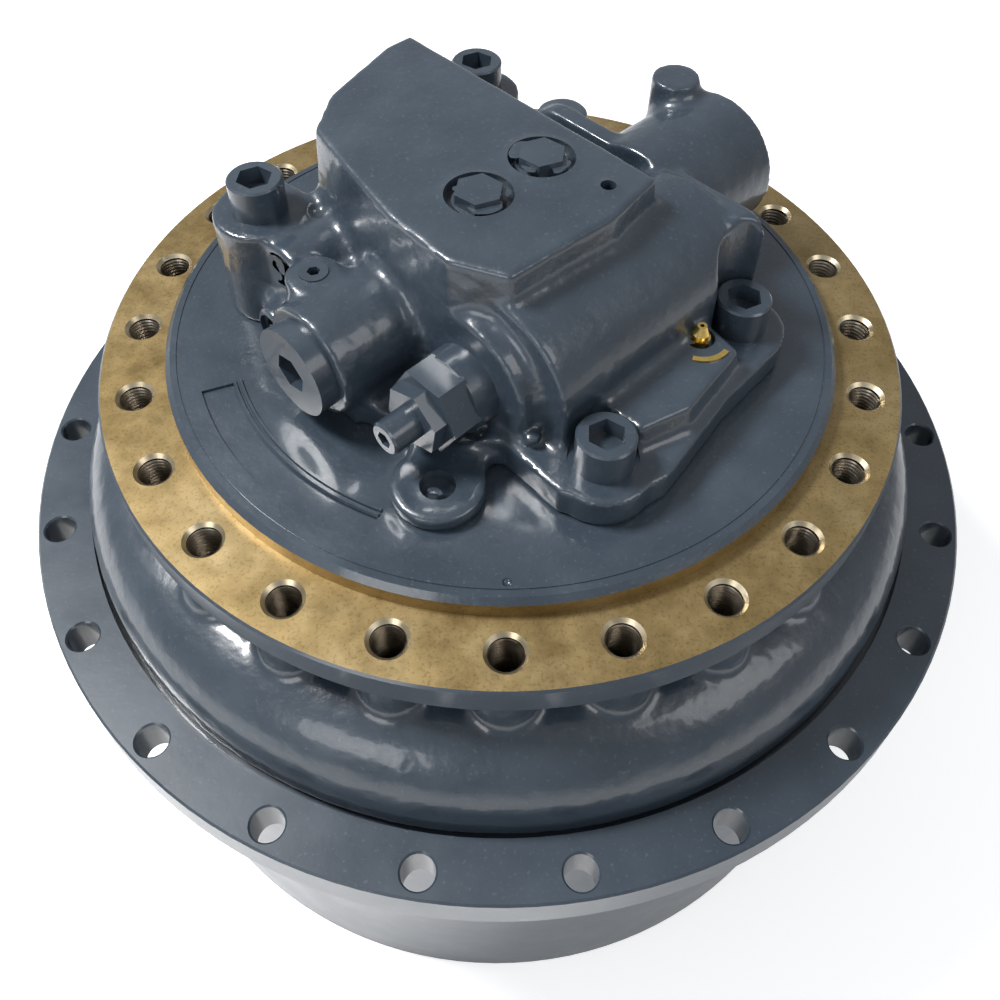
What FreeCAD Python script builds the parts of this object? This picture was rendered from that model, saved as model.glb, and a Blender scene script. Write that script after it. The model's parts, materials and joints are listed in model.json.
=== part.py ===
import FreeCAD, Part
import math
import os

# Excavator final drive: a hydraulic travel motor on a two-stage planetary reduction gear.
# Millimetres. +Z runs up the turning axis, from the hub's cover (z = 0) to the motor on top.
# The hub turns with the track sprocket. The frame casting is bolted to the track frame.

os.makedirs("parts", exist_ok=True)
V = FreeCAD.Vector
UP = V(0, 0, 1)

# ---- heights above the floor ---------------------------------------------------------------------
COVER_THICK = 20.0
HUB_HEIGHT = 236.0            # top face of the sprocket flange
RING_RISE = 97.0              # machined frame face above the sprocket flange
SPIGOT_RISE = 12.0            # spigot above the machined frame face
CASE_RISE = 103.0             # flat top of the motor case above the spigot

# ---- sprocket side -------------------------------------------------------------------------------
FLANGE_RADIUS = 290.5
FLANGE_THICK = 26.0
FLANGE_HOLE_CIRCLE = 277.5
FLANGE_HOLES = 22
FLANGE_HOLE_RADIUS = 8.75
FLANGE_HOLE_ANGLE = -97.4
DRUM_RADIUS = 263.5
HUB_NECK_OUTER = 238.0
HUB_NECK_RISE = 14.0
GROOVE_DEPTH = 9.0
EDGE_CHAMFER = 1.2

# ---- track frame side ----------------------------------------------------------------------------
RING_RADIUS = 229.0
RING_THICK = 18.0
RING_HOLE_CIRCLE = 209.0
RING_HOLES = 24
RING_HOLE_RADIUS = 8.75
RING_HOLE_DEPTH = 40.0
RING_HOLE_ANGLE = -88.7
RING_BOSS_RADIUS = 17.0
RING_BOSS_LENGTH = 34.0
SPIGOT_RADIUS = 190.5
NECK_RADIUS = 190.0
BELL_RADIUS = 256.0
BELL_WALL = 13.0
BELL_ARC = 44.0
BELL_RISE = 10.0              # centre of the bell's round above the sprocket flange
BELL_LIP_CLEARANCE = 4.0      # bell lip above the floor of the labyrinth groove
PANEL_INNER = 154.0
PANEL_OUTER = 173.0
PANEL_DEPTH = 1.5
PANEL_FROM = -158.0
PANEL_TO = -112.0

# ---- main bearings and floating seal -------------------------------------------------------------
SPINDLE_RADIUS = 150.0
SPINDLE_END = 168.0
BEARING_WIDTH = 32.0
RACE_THICK = 16.0
ROLLER_RADIUS = 8.0
ROLLER_CLEARANCE = 0.15
ROLLER_COUNT = 36
ROLLER_LIP = 3.0
SHOULDER_STEP = 14.0
HUB_SHOULDER = 16.0           # depth of the hub's ledge under the bearings
HUB_LEDGE = 8.0                # width of that ledge
SEAT_CLEARANCE = 0.02         # press and transition fits
SEAL_INNER = 204.0
SEAL_OUTER = 222.0
SEAL_BODY = 216.0
SEAL_HEIGHT = 16.0
SEAL_LIP = 4.5
SEAL_SEAT = 226.0
SEAL_FILM = 0.05
SEAL_END_GAP = 1.0
ORING_CLEARANCE = 0.1
HOUSING_GAP = 2.0             # hub neck to the frame's seal housing

# ---- planetary gears -----------------------------------------------------------------------------
MODULE = 5.0
PRESSURE_ANGLE = math.radians(20.0)
RING_TEETH = 90
SUN_TEETH = 18
PLANET_TEETH = (RING_TEETH - SUN_TEETH) // 2
PLANETS = 3
BACKLASH = 0.3
FLANK_STEPS = 4
ADDENDUM = 1.0
DEDENDUM = 1.25
RING_GEAR_RADIUS = 243.0
COVER_RIM = 8.0                # height of the cover's centring rim
COVER_RIM_GAP = 0.2
COVER_RIM_WALL = 12.0
CARRIER_1_BOTTOM = 62.0
CARRIER_1_THICK = 15.0
CARRIER_1_RADIUS = 178.0
CARRIER_2_THICK = 22.0
CARRIER_2_RADIUS = 163.0
FACE_GAP = 3.0
STAGE_1_FACE = 27.0
PIN_RADIUS = 26.0
PIN_HEAD_RADIUS = 33.0
PIN_HEAD = 2.5
RUNNING_FIT = 0.05
CARRIER_SPLINE_OUTER = 38.0
CARRIER_SPLINE_INNER = 34.0
CARRIER_SPLINE_TEETH = 16
SPLINE_CLEARANCE = 0.1
SUN_SHAFT_RADIUS = 16.0
SUN_2_BORE = 21.0
CARRIER_BOLT_RADIUS = 8.0
CARRIER_BOLT_CIRCLE = 122.0
CARRIER_BOLT_GRIP = 30.0

# ---- cover ---------------------------------------------------------------------------------------
COVER_RADIUS = 262.5
COVER_SCREWS = 18
COVER_SCREW_RADIUS = 5.0
COVER_SCREW_CIRCLE = 253.25
COVER_SCREW_ANGLE = 6.0
COVER_SCREW_GRIP = 18.0
COVER_PLUG_RADIUS = 13.0
COVER_PLUG_CIRCLE = 150.0
COVER_PLUG_ANGLES = (-90.0, 30.0, 150.0)
THRUST_PAD_RADIUS = 30.0
THRUST_GAP = 0.4

# ---- motor rotating group ------------------------------------------------------------------------
CAVITY_RADIUS = 104.0
CAVITY_FLOOR = 232.0
SHAFT_RADIUS = 22.0
SHAFT_TOP = 362.0
SHAFT_BOTTOM = 172.0
SOCKET_DEPTH = 28.0
SHAFT_SPLINE_TEETH = 12
SHAFT_SPLINE_INNER = 13.5
SHAFT_BEARING_RADIUS = 36.0
SHAFT_BEARING_WIDTH = 20.0
SHAFT_BORE_RADIUS = 32.0
SHAFT_SEAL_WIDTH = 7.0
BUSH_RADIUS = 26.0
BUSH_LENGTH = 16.0
BLOCK_RADIUS = 78.0
BLOCK_BOTTOM = 284.0
VALVE_PLATE_THICK = 6.0
VALVE_PLATE_RADIUS = 72.0
PISTONS = 9
PISTON_CIRCLE = 52.0
PISTON_RADIUS = 11.0
PISTON_TOP = 325.0
SHOE_RADIUS = 14.0
SHOE_BOTTOM = 270.9
SHOE_THICK = 5.0
SHOE_NECK = 10.8
SHOE_HEIGHT = 9.0
RETAINER_RADIUS = 70.0
RETAINER_THICK = 2.0
RETAINER_BORE = 30.0
SWASH_AXIS = 270.5
SWASH_RADIUS = 74.0
SWASH_LENGTH = 150.0
SWASH_FACE = 14.0             # running face below the tilt axis
SWASH_THICK = 24.0
SWASH_TILT = 12.0
SWASH_SADDLE = 30.0           # width of each half-round saddle
SWASH_BORE = 34.0
SOFT_CLEARANCE = 0.3
SERVO_RADIUS = 9.0
SERVO_OFFSET = -48.0
SERVO_BOTTOM = 186.0
SERVO_BORE_BOTTOM = 180.0
BRAKE_DISCS = 3
BRAKE_DISC_THICK = 2.6
BRAKE_GAP = 0.3
BRAKE_BOTTOM = 298.0
BRAKE_INNER = 84.0
BRAKE_OUTER = 98.0
BRAKE_LUGS = 8
BRAKE_LUG_WIDTH = 12.0
BRAKE_LUG_DEPTH = 4.0
BRAKE_PISTON_TOP = 334.0
BRAKE_SPRINGS = 8
BRAKE_SPRING_CIRCLE = 94.0
BRAKE_SPRING_ANGLE = 11.0
BRAKE_SPRING_RADIUS = 6.5
BRAKE_SPRING_WIRE = 1.1
SPRING_END = 0.2                # clearance at each end of every spring
BRAKE_POCKET_RADIUS = 8.5
BRAKE_POCKET_DEPTH = 14.0

# ---- motor case, in the motor's own axes turned by MOTOR_TURN about Z ----------------------------
MOTOR_TURN = -45.0
BASE_THICK = 18.0
BASE_RADIUS = 110.0
LUG_RADIUS = 26.0
BOLT_CIRCLE = 132.0
BOLT_RADIUS = 10.0
BOLT_CLEARANCE = 1.0
BOLT_HEAD_RADIUS = 15.0
BOLT_HEAD_HEIGHT = 20.0
BOLT_SOCKET = 17.0
BOLT_SOCKET_DEPTH = 10.0
BOLT_THREAD = 32.0
TALL_LUG = 63.0
LOW_LUG = 19.0
# each bolt's angle and the height of its lug
BOLT_ANGLES = ((174.5, TALL_LUG), (97.6, TALL_LUG), (-11.0, LOW_LUG), (-67.4, LOW_LUG))
THREAD_FIT = 0.1
BLOCK_OUTLINE = ((-127, 30), (-127, 48), (60, 48), (66, 10), (62, -56), (34, -70), (-10, -68),
                 (-61, -57), (-90, -50), (-110, -24))
BLOCK_DRAFT = 7.0
SHOULDER_U = 60.0
SHOULDER_RISE = 41.0
SHOULDER_RADIUS = 44.0
SHOULDER_FRONT = -60.0
PLATE_BACK = 92.0
PLATE_THICK = 12.0
PLATE_LEFT = -55.0
PLATE_RIGHT = 104.0
PLATE_RISE = 78.0
PLATE_ROUND = 14.0
REAR_PORT_U = 22.0
REAR_PORT_RISE = 42.0
REAR_PORT_RADIUS = 41.0
REAR_PORT_FOOT = 30.0           # half width of the wall under the rear port
REAR_PORT_END = 160.0
REAR_PORT_BORE = 15.0
REAR_PORT_DEPTH = 26.0
PORT_RISE = 36.0              # height of the spool and relief axes above the spigot
RELIEF_U = 50.0
RELIEF_BOSS_RADIUS = 38.0
RELIEF_FOOT = 30.0
RELIEF_FACE = -72.0
RELIEF_COLLAR_RADIUS = 22.0
RELIEF_DEPTH = 26.0
RELIEF_COLLAR_END = -86.0
RELIEF_HEX = 40.0
RELIEF_HEX_END = -102.0
RELIEF_NUT = 32.0
RELIEF_NUT_THICK = 8.0
RELIEF_SCREW_RADIUS = 9.0
RELIEF_SCREW_END = -127.0
RELIEF_SCREW_GRIP = 14.0
RELIEF_SCREW_SOCKET = 8.0
RELIEF_BORE = 11.0
RELIEF_POPPET_LENGTH = 16.0
RELIEF_SEAT_RADIUS = 7.0
RELIEF_SEAT_DEPTH = 14.0
RELIEF_SPRING_RADIUS = 7.5
RELIEF_SPRING_WIRE = 1.5
SPOOL_U = -15.0
SPOOL_BOSS_RADIUS = 31.0
SPOOL_FOOT = 24.0
SPOOL_FACE = -122.0
SPOOL_RADIUS = 12.0
SPOOL_LENGTH = 110.0
SPOOL_LAND = 18.0
SPOOL_GROOVE = 8.0
SPOOL_BORE_END = 62.0
SPOOL_CENTRE = -28.0
SPOOL_SPRING_RADIUS = 8.5
SPOOL_SPRING_WIRE = 1.4
CAP_RADIUS = 25.0
CAP_THICK = 11.0
CAP_STEM_RADIUS = 16.0
CAP_STEM = 12.0
CAP_SOCKET = 19.0
CAP_SOCKET_DEPTH = 10.0
GAUGE_U = -37.0
GAUGE_V = -97.0
GAUGE_BOSS_RADIUS = 15.0
GAUGE_RISE = 66.0
GAUGE_PLUG_RADIUS = 7.5
# each port's u, height, face along v, boss radius and bore radius
SIDE_PORTS = ((-66.0, 42.0, -97.0, 20.6, 10.5), (-62.0, 17.5, -113.0, 13.9, 7.5))
SIDE_PORT_DEPTH = 22.0
TOP_PLUGS = ((9.0, -26.0), (9.0, 18.0))
TOP_PLUG_BORE = 17.5
TOP_PLUG_SINK = 5.0
TOP_PLUG_HEX = 22.0
TOP_PLUG_HEIGHT = 8.5
TOP_PLUG_STEM_RADIUS = 8.0
TOP_PLUG_STEM = 12.0
# u, v, radius and depth
TAP_HOLE = (48.0, 25.0, 4.0, 12.0)
# u, v, radius and height of the round hump behind the plug boss
HUMP = (-44.0, 92.0, 15.0, 72.0)
# outlines in the motor's own axes: the low ear round the right bolts, and the pad on it
EAR_OUTLINE = ((58, -76), (120, -79), (143, -64), (150, -34), (139, 28), (136, 78), (116, 99), (84, 98),
               (56, 62))
PAD_OUTLINE = ((90, -30), (128, -34), (136, -4), (129, 44), (98, 50), (88, 20))
PAD_RISE = 34.0
PAD_DRAFT = 9.0
# u, v, radius and height of the front lobe, then u, v, radius and depth of its recess
LOBE = (70.0, -112.0, 24.0, 9.0)
LOBE_PLUG = (72.0, -114.0, 9.0, 5.0)
NIPPLE_UV = (110.0, 36.0)
STRIP_RADIUS = 14.0
STRIP_WIDTH = 3.0
STRIP_THICK = 1.0
STRIP_SPREAD = 75.0
STRIP_FROM = -65.0


# ---- helpers -------------------------------------------------------------------------------------
def polar(radius, degrees, z=0.0):
    angle = math.radians(degrees)
    return V(radius * math.cos(angle), radius * math.sin(angle), z)


def disc(radius, z0, z1, x=0.0, y=0.0):
    return Part.makeCylinder(radius, z1 - z0, V(x, y, z0))


def tube(outer, inner, z0, z1, x=0.0, y=0.0):
    return disc(outer, z0, z1, x, y).cut(disc(inner, z0 - 1, z1 + 1, x, y))


def box(x0, x1, y0, y1, z0, z1):
    return Part.makeBox(x1 - x0, y1 - y0, z1 - z0, V(x0, y0, z0))


def along_v(radius, u, z, v0, v1):
    """A cylinder that runs along the motor's V axis."""
    return Part.makeCylinder(radius, v1 - v0, V(u, v0, z), V(0, 1, 0))


def prism(points, z0, z1):
    wire = Part.makePolygon([V(x, y, z0) for x, y in points] + [V(points[0][0], points[0][1], z0)])
    return Part.Face(wire).extrude(V(0, 0, z1 - z0))


def drafted_prism(points, z0, z1, draft):
    """A prism whose foot is larger than its top by the casting's draft."""
    cx = sum(p[0] for p in points) / len(points)
    cy = sum(p[1] for p in points) / len(points)
    wires = []
    for z, grow in ((z0, draft), (z1, 0.0)):
        ring = []
        for x, y in points:
            away = math.hypot(x - cx, y - cy)
            ring.append(V(x + (x - cx) * grow / away, y + (y - cy) * grow / away, z))
        wires.append(Part.makePolygon(ring + [ring[0]]))
    return Part.makeLoft(wires, True, True)


def turned(path):
    """A solid of revolution about Z. A step is (r, z), or ((r, z), (r, z)) for an arc by way of a point."""
    edges = []
    first = V(path[0][0], 0, path[0][1])
    here = first
    for step in path[1:] + [path[0]]:
        if isinstance(step[0], tuple):
            middle = V(step[0][0], 0, step[0][1])
            there = V(step[1][0], 0, step[1][1])
            edges.append(Part.Arc(here, middle, there).toShape())
        else:
            there = V(step[0], 0, step[1])
            edges.append(Part.makeLine(here, there))
        here = there
    return Part.Face(Part.Wire(edges)).revolve(V(0, 0, 0), UP, 360)


def hexagon(across_flats, z0, z1, x=0.0, y=0.0, turn=0.0):
    corner = across_flats / math.sqrt(3)
    points = [polar(corner, turn + 60 * k) for k in range(6)]
    return prism([(x + p.x, y + p.y) for p in points], z0, z1)


def lay_along_v(shape, u, z):
    """Turns a shape made along +Z so that its +Z points along -V, with its origin at (u, 0, z)."""
    turned_shape = shape.copy()
    turned_shape.rotate(V(0, 0, 0), V(1, 0, 0), 90)
    turned_shape.translate(V(u, 0, z))
    return turned_shape


def ring_of(shape, count, start=0.0):
    """Copies of a shape, evenly spaced about Z."""
    copies = []
    for k in range(count):
        copy = shape.copy()
        copy.rotate(V(0, 0, 0), UP, start + 360.0 * k / count)
        copies.append(copy)
    return copies


def spring(radius, wire, length, turns):
    """A coil spring standing on z = 0."""
    rise = length - 2 * wire
    helix = Part.makeHelix(rise / turns, rise, radius)
    section = Part.Wire(Part.makeCircle(wire, V(radius, 0, 0), V(0, 1, 0)))
    coil = Part.Wire(helix.Edges).makePipeShell([section], True, True)
    coil.translate(V(0, 0, wire))
    return coil


def involute(base, radius):
    angle = math.acos(min(1.0, base / radius))
    return math.tan(angle) - angle


def gear_outline(teeth, thickness, inner, outer, phase):
    """The outline of a gear. For an internal gear it is the outline of its opening."""
    pitch = teeth * MODULE / 2
    base = pitch * math.cos(PRESSURE_ANGLE)
    start = max(inner, base)
    radii = [start + (outer - start) * k / (FLANK_STEPS - 1) for k in range(FLANK_STEPS)]
    middle = thickness / 2 / pitch + involute(base, pitch)
    halves = [middle - involute(base, radius) for radius in radii]
    points = []
    for tooth in range(teeth):
        centre = phase + 2 * math.pi * tooth / teeth
        flank = list(zip(radii, halves))
        if inner < base:
            flank = [(inner, halves[0])] + flank
        for radius, half in flank:
            points.append((radius * math.cos(centre - half), radius * math.sin(centre - half)))
        for radius, half in reversed(flank):
            points.append((radius * math.cos(centre + half), radius * math.sin(centre + half)))
    return points


def spur_gear(teeth, z0, z1, phase, x=0.0, y=0.0):
    pitch = teeth * MODULE / 2
    inner = pitch - DEDENDUM * MODULE
    outer = pitch + ADDENDUM * MODULE
    outline = gear_outline(teeth, math.pi * MODULE / 2 - BACKLASH, inner, outer, phase)
    return prism([(x + px, y + py) for px, py in outline], z0, z1)


def spline(outer, inner, teeth, z0, z1, grow=0.0):
    """A straight-sided spline. Grow widens it all round, for the socket."""
    points = []
    step = 360.0 / teeth
    for k in range(teeth):
        for radius, share in ((inner, 0.0), (inner, 0.3), (outer, 0.42), (outer, 0.88)):
            point = polar(radius + grow, (k + share) * step)
            points.append((point.x, point.y))
    return prism(points, z0, z1)


def motor_place(shape):
    placed = shape.copy()
    placed.rotate(V(0, 0, 0), UP, MOTOR_TURN)
    return placed


def save(name, shape):
    shapes = shape if isinstance(shape, list) else [shape]
    solids = [solid for piece in shapes for solid in piece.Solids]
    whole = solids[0] if len(solids) == 1 else Part.makeCompound(solids)
    whole.exportStep("parts/" + name + ".step")
    print(name, len(solids), whole.isValid(), round(whole.Volume))


# ---- places worked out from the sizes above ------------------------------------------------------
RING_FACE = HUB_HEIGHT + RING_RISE
SPIGOT_TOP = RING_FACE + SPIGOT_RISE
CASE_TOP = SPIGOT_TOP + CASE_RISE
RING_UNDER = RING_FACE - RING_THICK
BELL_CENTRE_R = BELL_RADIUS - BELL_ARC
BELL_CENTRE_Z = HUB_HEIGHT + BELL_RISE
GROOVE_FLOOR = HUB_HEIGHT - GROOVE_DEPTH
BEARING_TOP = SPINDLE_END + 2 * BEARING_WIDTH
INNER_RACE = SPINDLE_RADIUS + RACE_THICK
ROLLER_CIRCLE = INNER_RACE + ROLLER_RADIUS + ROLLER_CLEARANCE
OUTER_RACE = ROLLER_CIRCLE + ROLLER_RADIUS + ROLLER_CLEARANCE
HUB_BORE = OUTER_RACE + RACE_THICK
HUB_TOP = HUB_HEIGHT + HUB_NECK_RISE
SEAL_PLANE = HUB_TOP + HOUSING_GAP / 2
SEAL_FLOOR = SEAL_PLANE - SEAL_HEIGHT - SEAL_END_GAP
SEAL_ROOF = SEAL_PLANE + SEAL_HEIGHT + SEAL_END_GAP
RING_GEAR_TOP = SPINDLE_END - HUB_SHOULDER
CARRIER_1_TOP = CARRIER_1_BOTTOM + CARRIER_1_THICK
CARRIER_2_BOTTOM = SPINDLE_END - CARRIER_2_THICK
STAGE_1 = (CARRIER_1_BOTTOM - FACE_GAP - STAGE_1_FACE, CARRIER_1_BOTTOM - FACE_GAP)
STAGE_2 = (CARRIER_1_TOP + FACE_GAP + PIN_HEAD, CARRIER_2_BOTTOM - FACE_GAP)
GEAR_CENTRES = (SUN_TEETH + PLANET_TEETH) * MODULE / 2
BLOCK_TOP = SPIGOT_TOP - VALVE_PLATE_THICK - SOFT_CLEARANCE
PORT_AXIS = SPIGOT_TOP + PORT_RISE
BEARING_SEAT_TOP = SPINDLE_END + SHAFT_SEAL_WIDTH + 1 + SHAFT_BEARING_WIDTH


# ---- hub -----------------------------------------------------------------------------------------
def hub_drum():
    lip_bore = BELL_RADIUS + BELL_LIP_CLEARANCE - 1
    under = HUB_HEIGHT - FLANGE_THICK
    body = turned([
        (HUB_BORE - HUB_LEDGE, RING_GEAR_TOP), (RING_GEAR_RADIUS, RING_GEAR_TOP),
        (RING_GEAR_RADIUS, COVER_THICK),
        (DRUM_RADIUS - EDGE_CHAMFER, COVER_THICK), (DRUM_RADIUS, COVER_THICK + EDGE_CHAMFER),
        (DRUM_RADIUS, under - 4), ((DRUM_RADIUS + 1.2, under - 1.2), (DRUM_RADIUS + 4, under)),
        (FLANGE_RADIUS - EDGE_CHAMFER, under), (FLANGE_RADIUS, under + EDGE_CHAMFER),
        (FLANGE_RADIUS, HUB_HEIGHT - EDGE_CHAMFER), (FLANGE_RADIUS - EDGE_CHAMFER, HUB_HEIGHT),
        (lip_bore, HUB_HEIGHT), (lip_bore, GROOVE_FLOOR), (HUB_NECK_OUTER, GROOVE_FLOOR),
        (HUB_NECK_OUTER, HUB_TOP), (SEAL_SEAT, HUB_TOP), (SEAL_SEAT, SEAL_FLOOR),
        (HUB_BORE, SEAL_FLOOR), (HUB_BORE, SPINDLE_END), (HUB_BORE - HUB_LEDGE, SPINDLE_END)])
    hole = disc(FLANGE_HOLE_RADIUS, under - 1, HUB_HEIGHT + 1, FLANGE_HOLE_CIRCLE, 0)
    sink = FLANGE_HOLE_RADIUS + 1
    top_sink = Part.makeCone(FLANGE_HOLE_RADIUS, sink, 1, V(FLANGE_HOLE_CIRCLE, 0, HUB_HEIGHT - 1))
    low_sink = Part.makeCone(sink, FLANGE_HOLE_RADIUS, 1, V(FLANGE_HOLE_CIRCLE, 0, under))
    holes = []
    for cutter in (hole, top_sink, low_sink):
        holes += ring_of(cutter, FLANGE_HOLES, FLANGE_HOLE_ANGLE)
    screw_hole = disc(COVER_SCREW_RADIUS + THREAD_FIT, COVER_THICK - 1, COVER_THICK + COVER_SCREW_GRIP + 4,
                      COVER_SCREW_CIRCLE, 0)
    holes += ring_of(screw_hole, COVER_SCREWS, COVER_SCREW_ANGLE)
    return body.cut(holes)


def hub_cover():
    rim_outer = RING_GEAR_RADIUS - COVER_RIM_GAP
    rim_inner = RING_GEAR_RADIUS - COVER_RIM_WALL
    rim_top = COVER_THICK + COVER_RIM
    plate = turned([
        (0, 0), (COVER_RADIUS - EDGE_CHAMFER, 0), (COVER_RADIUS, EDGE_CHAMFER), (COVER_RADIUS, COVER_THICK),
        (rim_outer, COVER_THICK), (rim_outer, rim_top), (rim_inner, rim_top), (rim_inner, COVER_THICK),
        (0, COVER_THICK)])
    head = COVER_SCREW_RADIUS * 1.6 + 1
    cutters = ring_of(disc(COVER_SCREW_RADIUS + 0.5, -1, COVER_THICK + 1, COVER_SCREW_CIRCLE, 0),
                      COVER_SCREWS, COVER_SCREW_ANGLE)
    cutters += ring_of(disc(head, -1, 2 * COVER_SCREW_RADIUS + 1, COVER_SCREW_CIRCLE, 0),
                       COVER_SCREWS, COVER_SCREW_ANGLE)
    for angle in COVER_PLUG_ANGLES:
        spot = polar(COVER_PLUG_CIRCLE, angle)
        cutters.append(disc(COVER_PLUG_RADIUS + THREAD_FIT, -1, COVER_THICK + 1, spot.x, spot.y))
    cutters.append(disc(THRUST_PAD_RADIUS + SEAT_CLEARANCE, COVER_THICK - 6, COVER_THICK + 1))
    return plate.cut(cutters)


def cover_screws():
    head_height = 2 * COVER_SCREW_RADIUS
    top = COVER_THICK + COVER_SCREW_GRIP
    screw = disc(COVER_SCREW_RADIUS, head_height, top, COVER_SCREW_CIRCLE, 0)
    head = disc(COVER_SCREW_RADIUS * 1.6, 1, head_height + 1, COVER_SCREW_CIRCLE, 0)
    socket = hexagon(COVER_SCREW_RADIUS * 1.6, 0, head_height * 0.6, COVER_SCREW_CIRCLE, 0)
    return ring_of(screw.fuse(head).cut(socket), COVER_SCREWS, COVER_SCREW_ANGLE)


def cover_plugs():
    plugs = []
    for angle in COVER_PLUG_ANGLES:
        spot = polar(COVER_PLUG_CIRCLE, angle)
        body = disc(COVER_PLUG_RADIUS, 1, COVER_THICK - 2, spot.x, spot.y)
        plugs.append(body.cut(hexagon(12, 0, 8, spot.x, spot.y)))
    return plugs


def ring_gear():
    inner = RING_TEETH * MODULE / 2 - ADDENDUM * MODULE
    root = RING_TEETH * MODULE / 2 + DEDENDUM * MODULE
    opening = gear_outline(RING_TEETH, math.pi * MODULE / 2 + BACKLASH, inner, root, 0.0)
    z0 = COVER_THICK + COVER_RIM
    blank = disc(RING_GEAR_RADIUS - SEAT_CLEARANCE, z0, RING_GEAR_TOP)
    return blank.cut(prism(opening, z0 - 1, RING_GEAR_TOP + 1))


def race_outer(z0):
    z1 = z0 + BEARING_WIDTH
    return turned([(HUB_BORE - SEAT_CLEARANCE, z0), (HUB_BORE - SEAT_CLEARANCE, z1), (OUTER_RACE, z1),
                   (OUTER_RACE, z0)])


def race_inner(z0):
    z1 = z0 + BEARING_WIDTH
    lip = INNER_RACE + ROLLER_RADIUS * 0.7
    return turned([(SPINDLE_RADIUS + SEAT_CLEARANCE, z0), (lip, z0), (lip, z0 + ROLLER_LIP),
                   (INNER_RACE, z0 + ROLLER_LIP), (INNER_RACE, z1 - ROLLER_LIP), (lip, z1 - ROLLER_LIP),
                   (lip, z1), (SPINDLE_RADIUS + SEAT_CLEARANCE, z1)])


def rollers(z0):
    gap = ROLLER_LIP + SOFT_CLEARANCE
    roller = disc(ROLLER_RADIUS, z0 + gap, z0 + BEARING_WIDTH - gap, ROLLER_CIRCLE, 0)
    return ring_of(roller, ROLLER_COUNT)


def seal_ring(side):
    """One half of the floating face seal: side is -1 under the sealing plane, +1 over it."""
    face = SEAL_PLANE + side * SEAL_FILM / 2
    lip = face + side * SEAL_LIP
    end = face + side * (SEAL_HEIGHT - SEAL_FILM)
    return turned([(SEAL_INNER, face), (SEAL_OUTER, face), (SEAL_OUTER, lip), (SEAL_BODY, lip),
                   (SEAL_BODY, end), (SEAL_INNER, end)])


def seal_oring(side):
    radius = (SEAL_SEAT - SEAL_BODY) / 2
    height = SEAL_PLANE + side * (SEAL_LIP + (SEAL_HEIGHT + SEAL_END_GAP - SEAL_LIP) / 2)
    return Part.makeTorus((SEAL_SEAT + SEAL_BODY) / 2, radius - ORING_CLEARANCE, V(0, 0, height))


# ---- frame ---------------------------------------------------------------------------------------
def swash_trough(radius, length):
    trough = Part.makeCylinder(radius, length, V(-length / 2, 0, SWASH_AXIS), V(1, 0, 0))
    return motor_place(trough)


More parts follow.
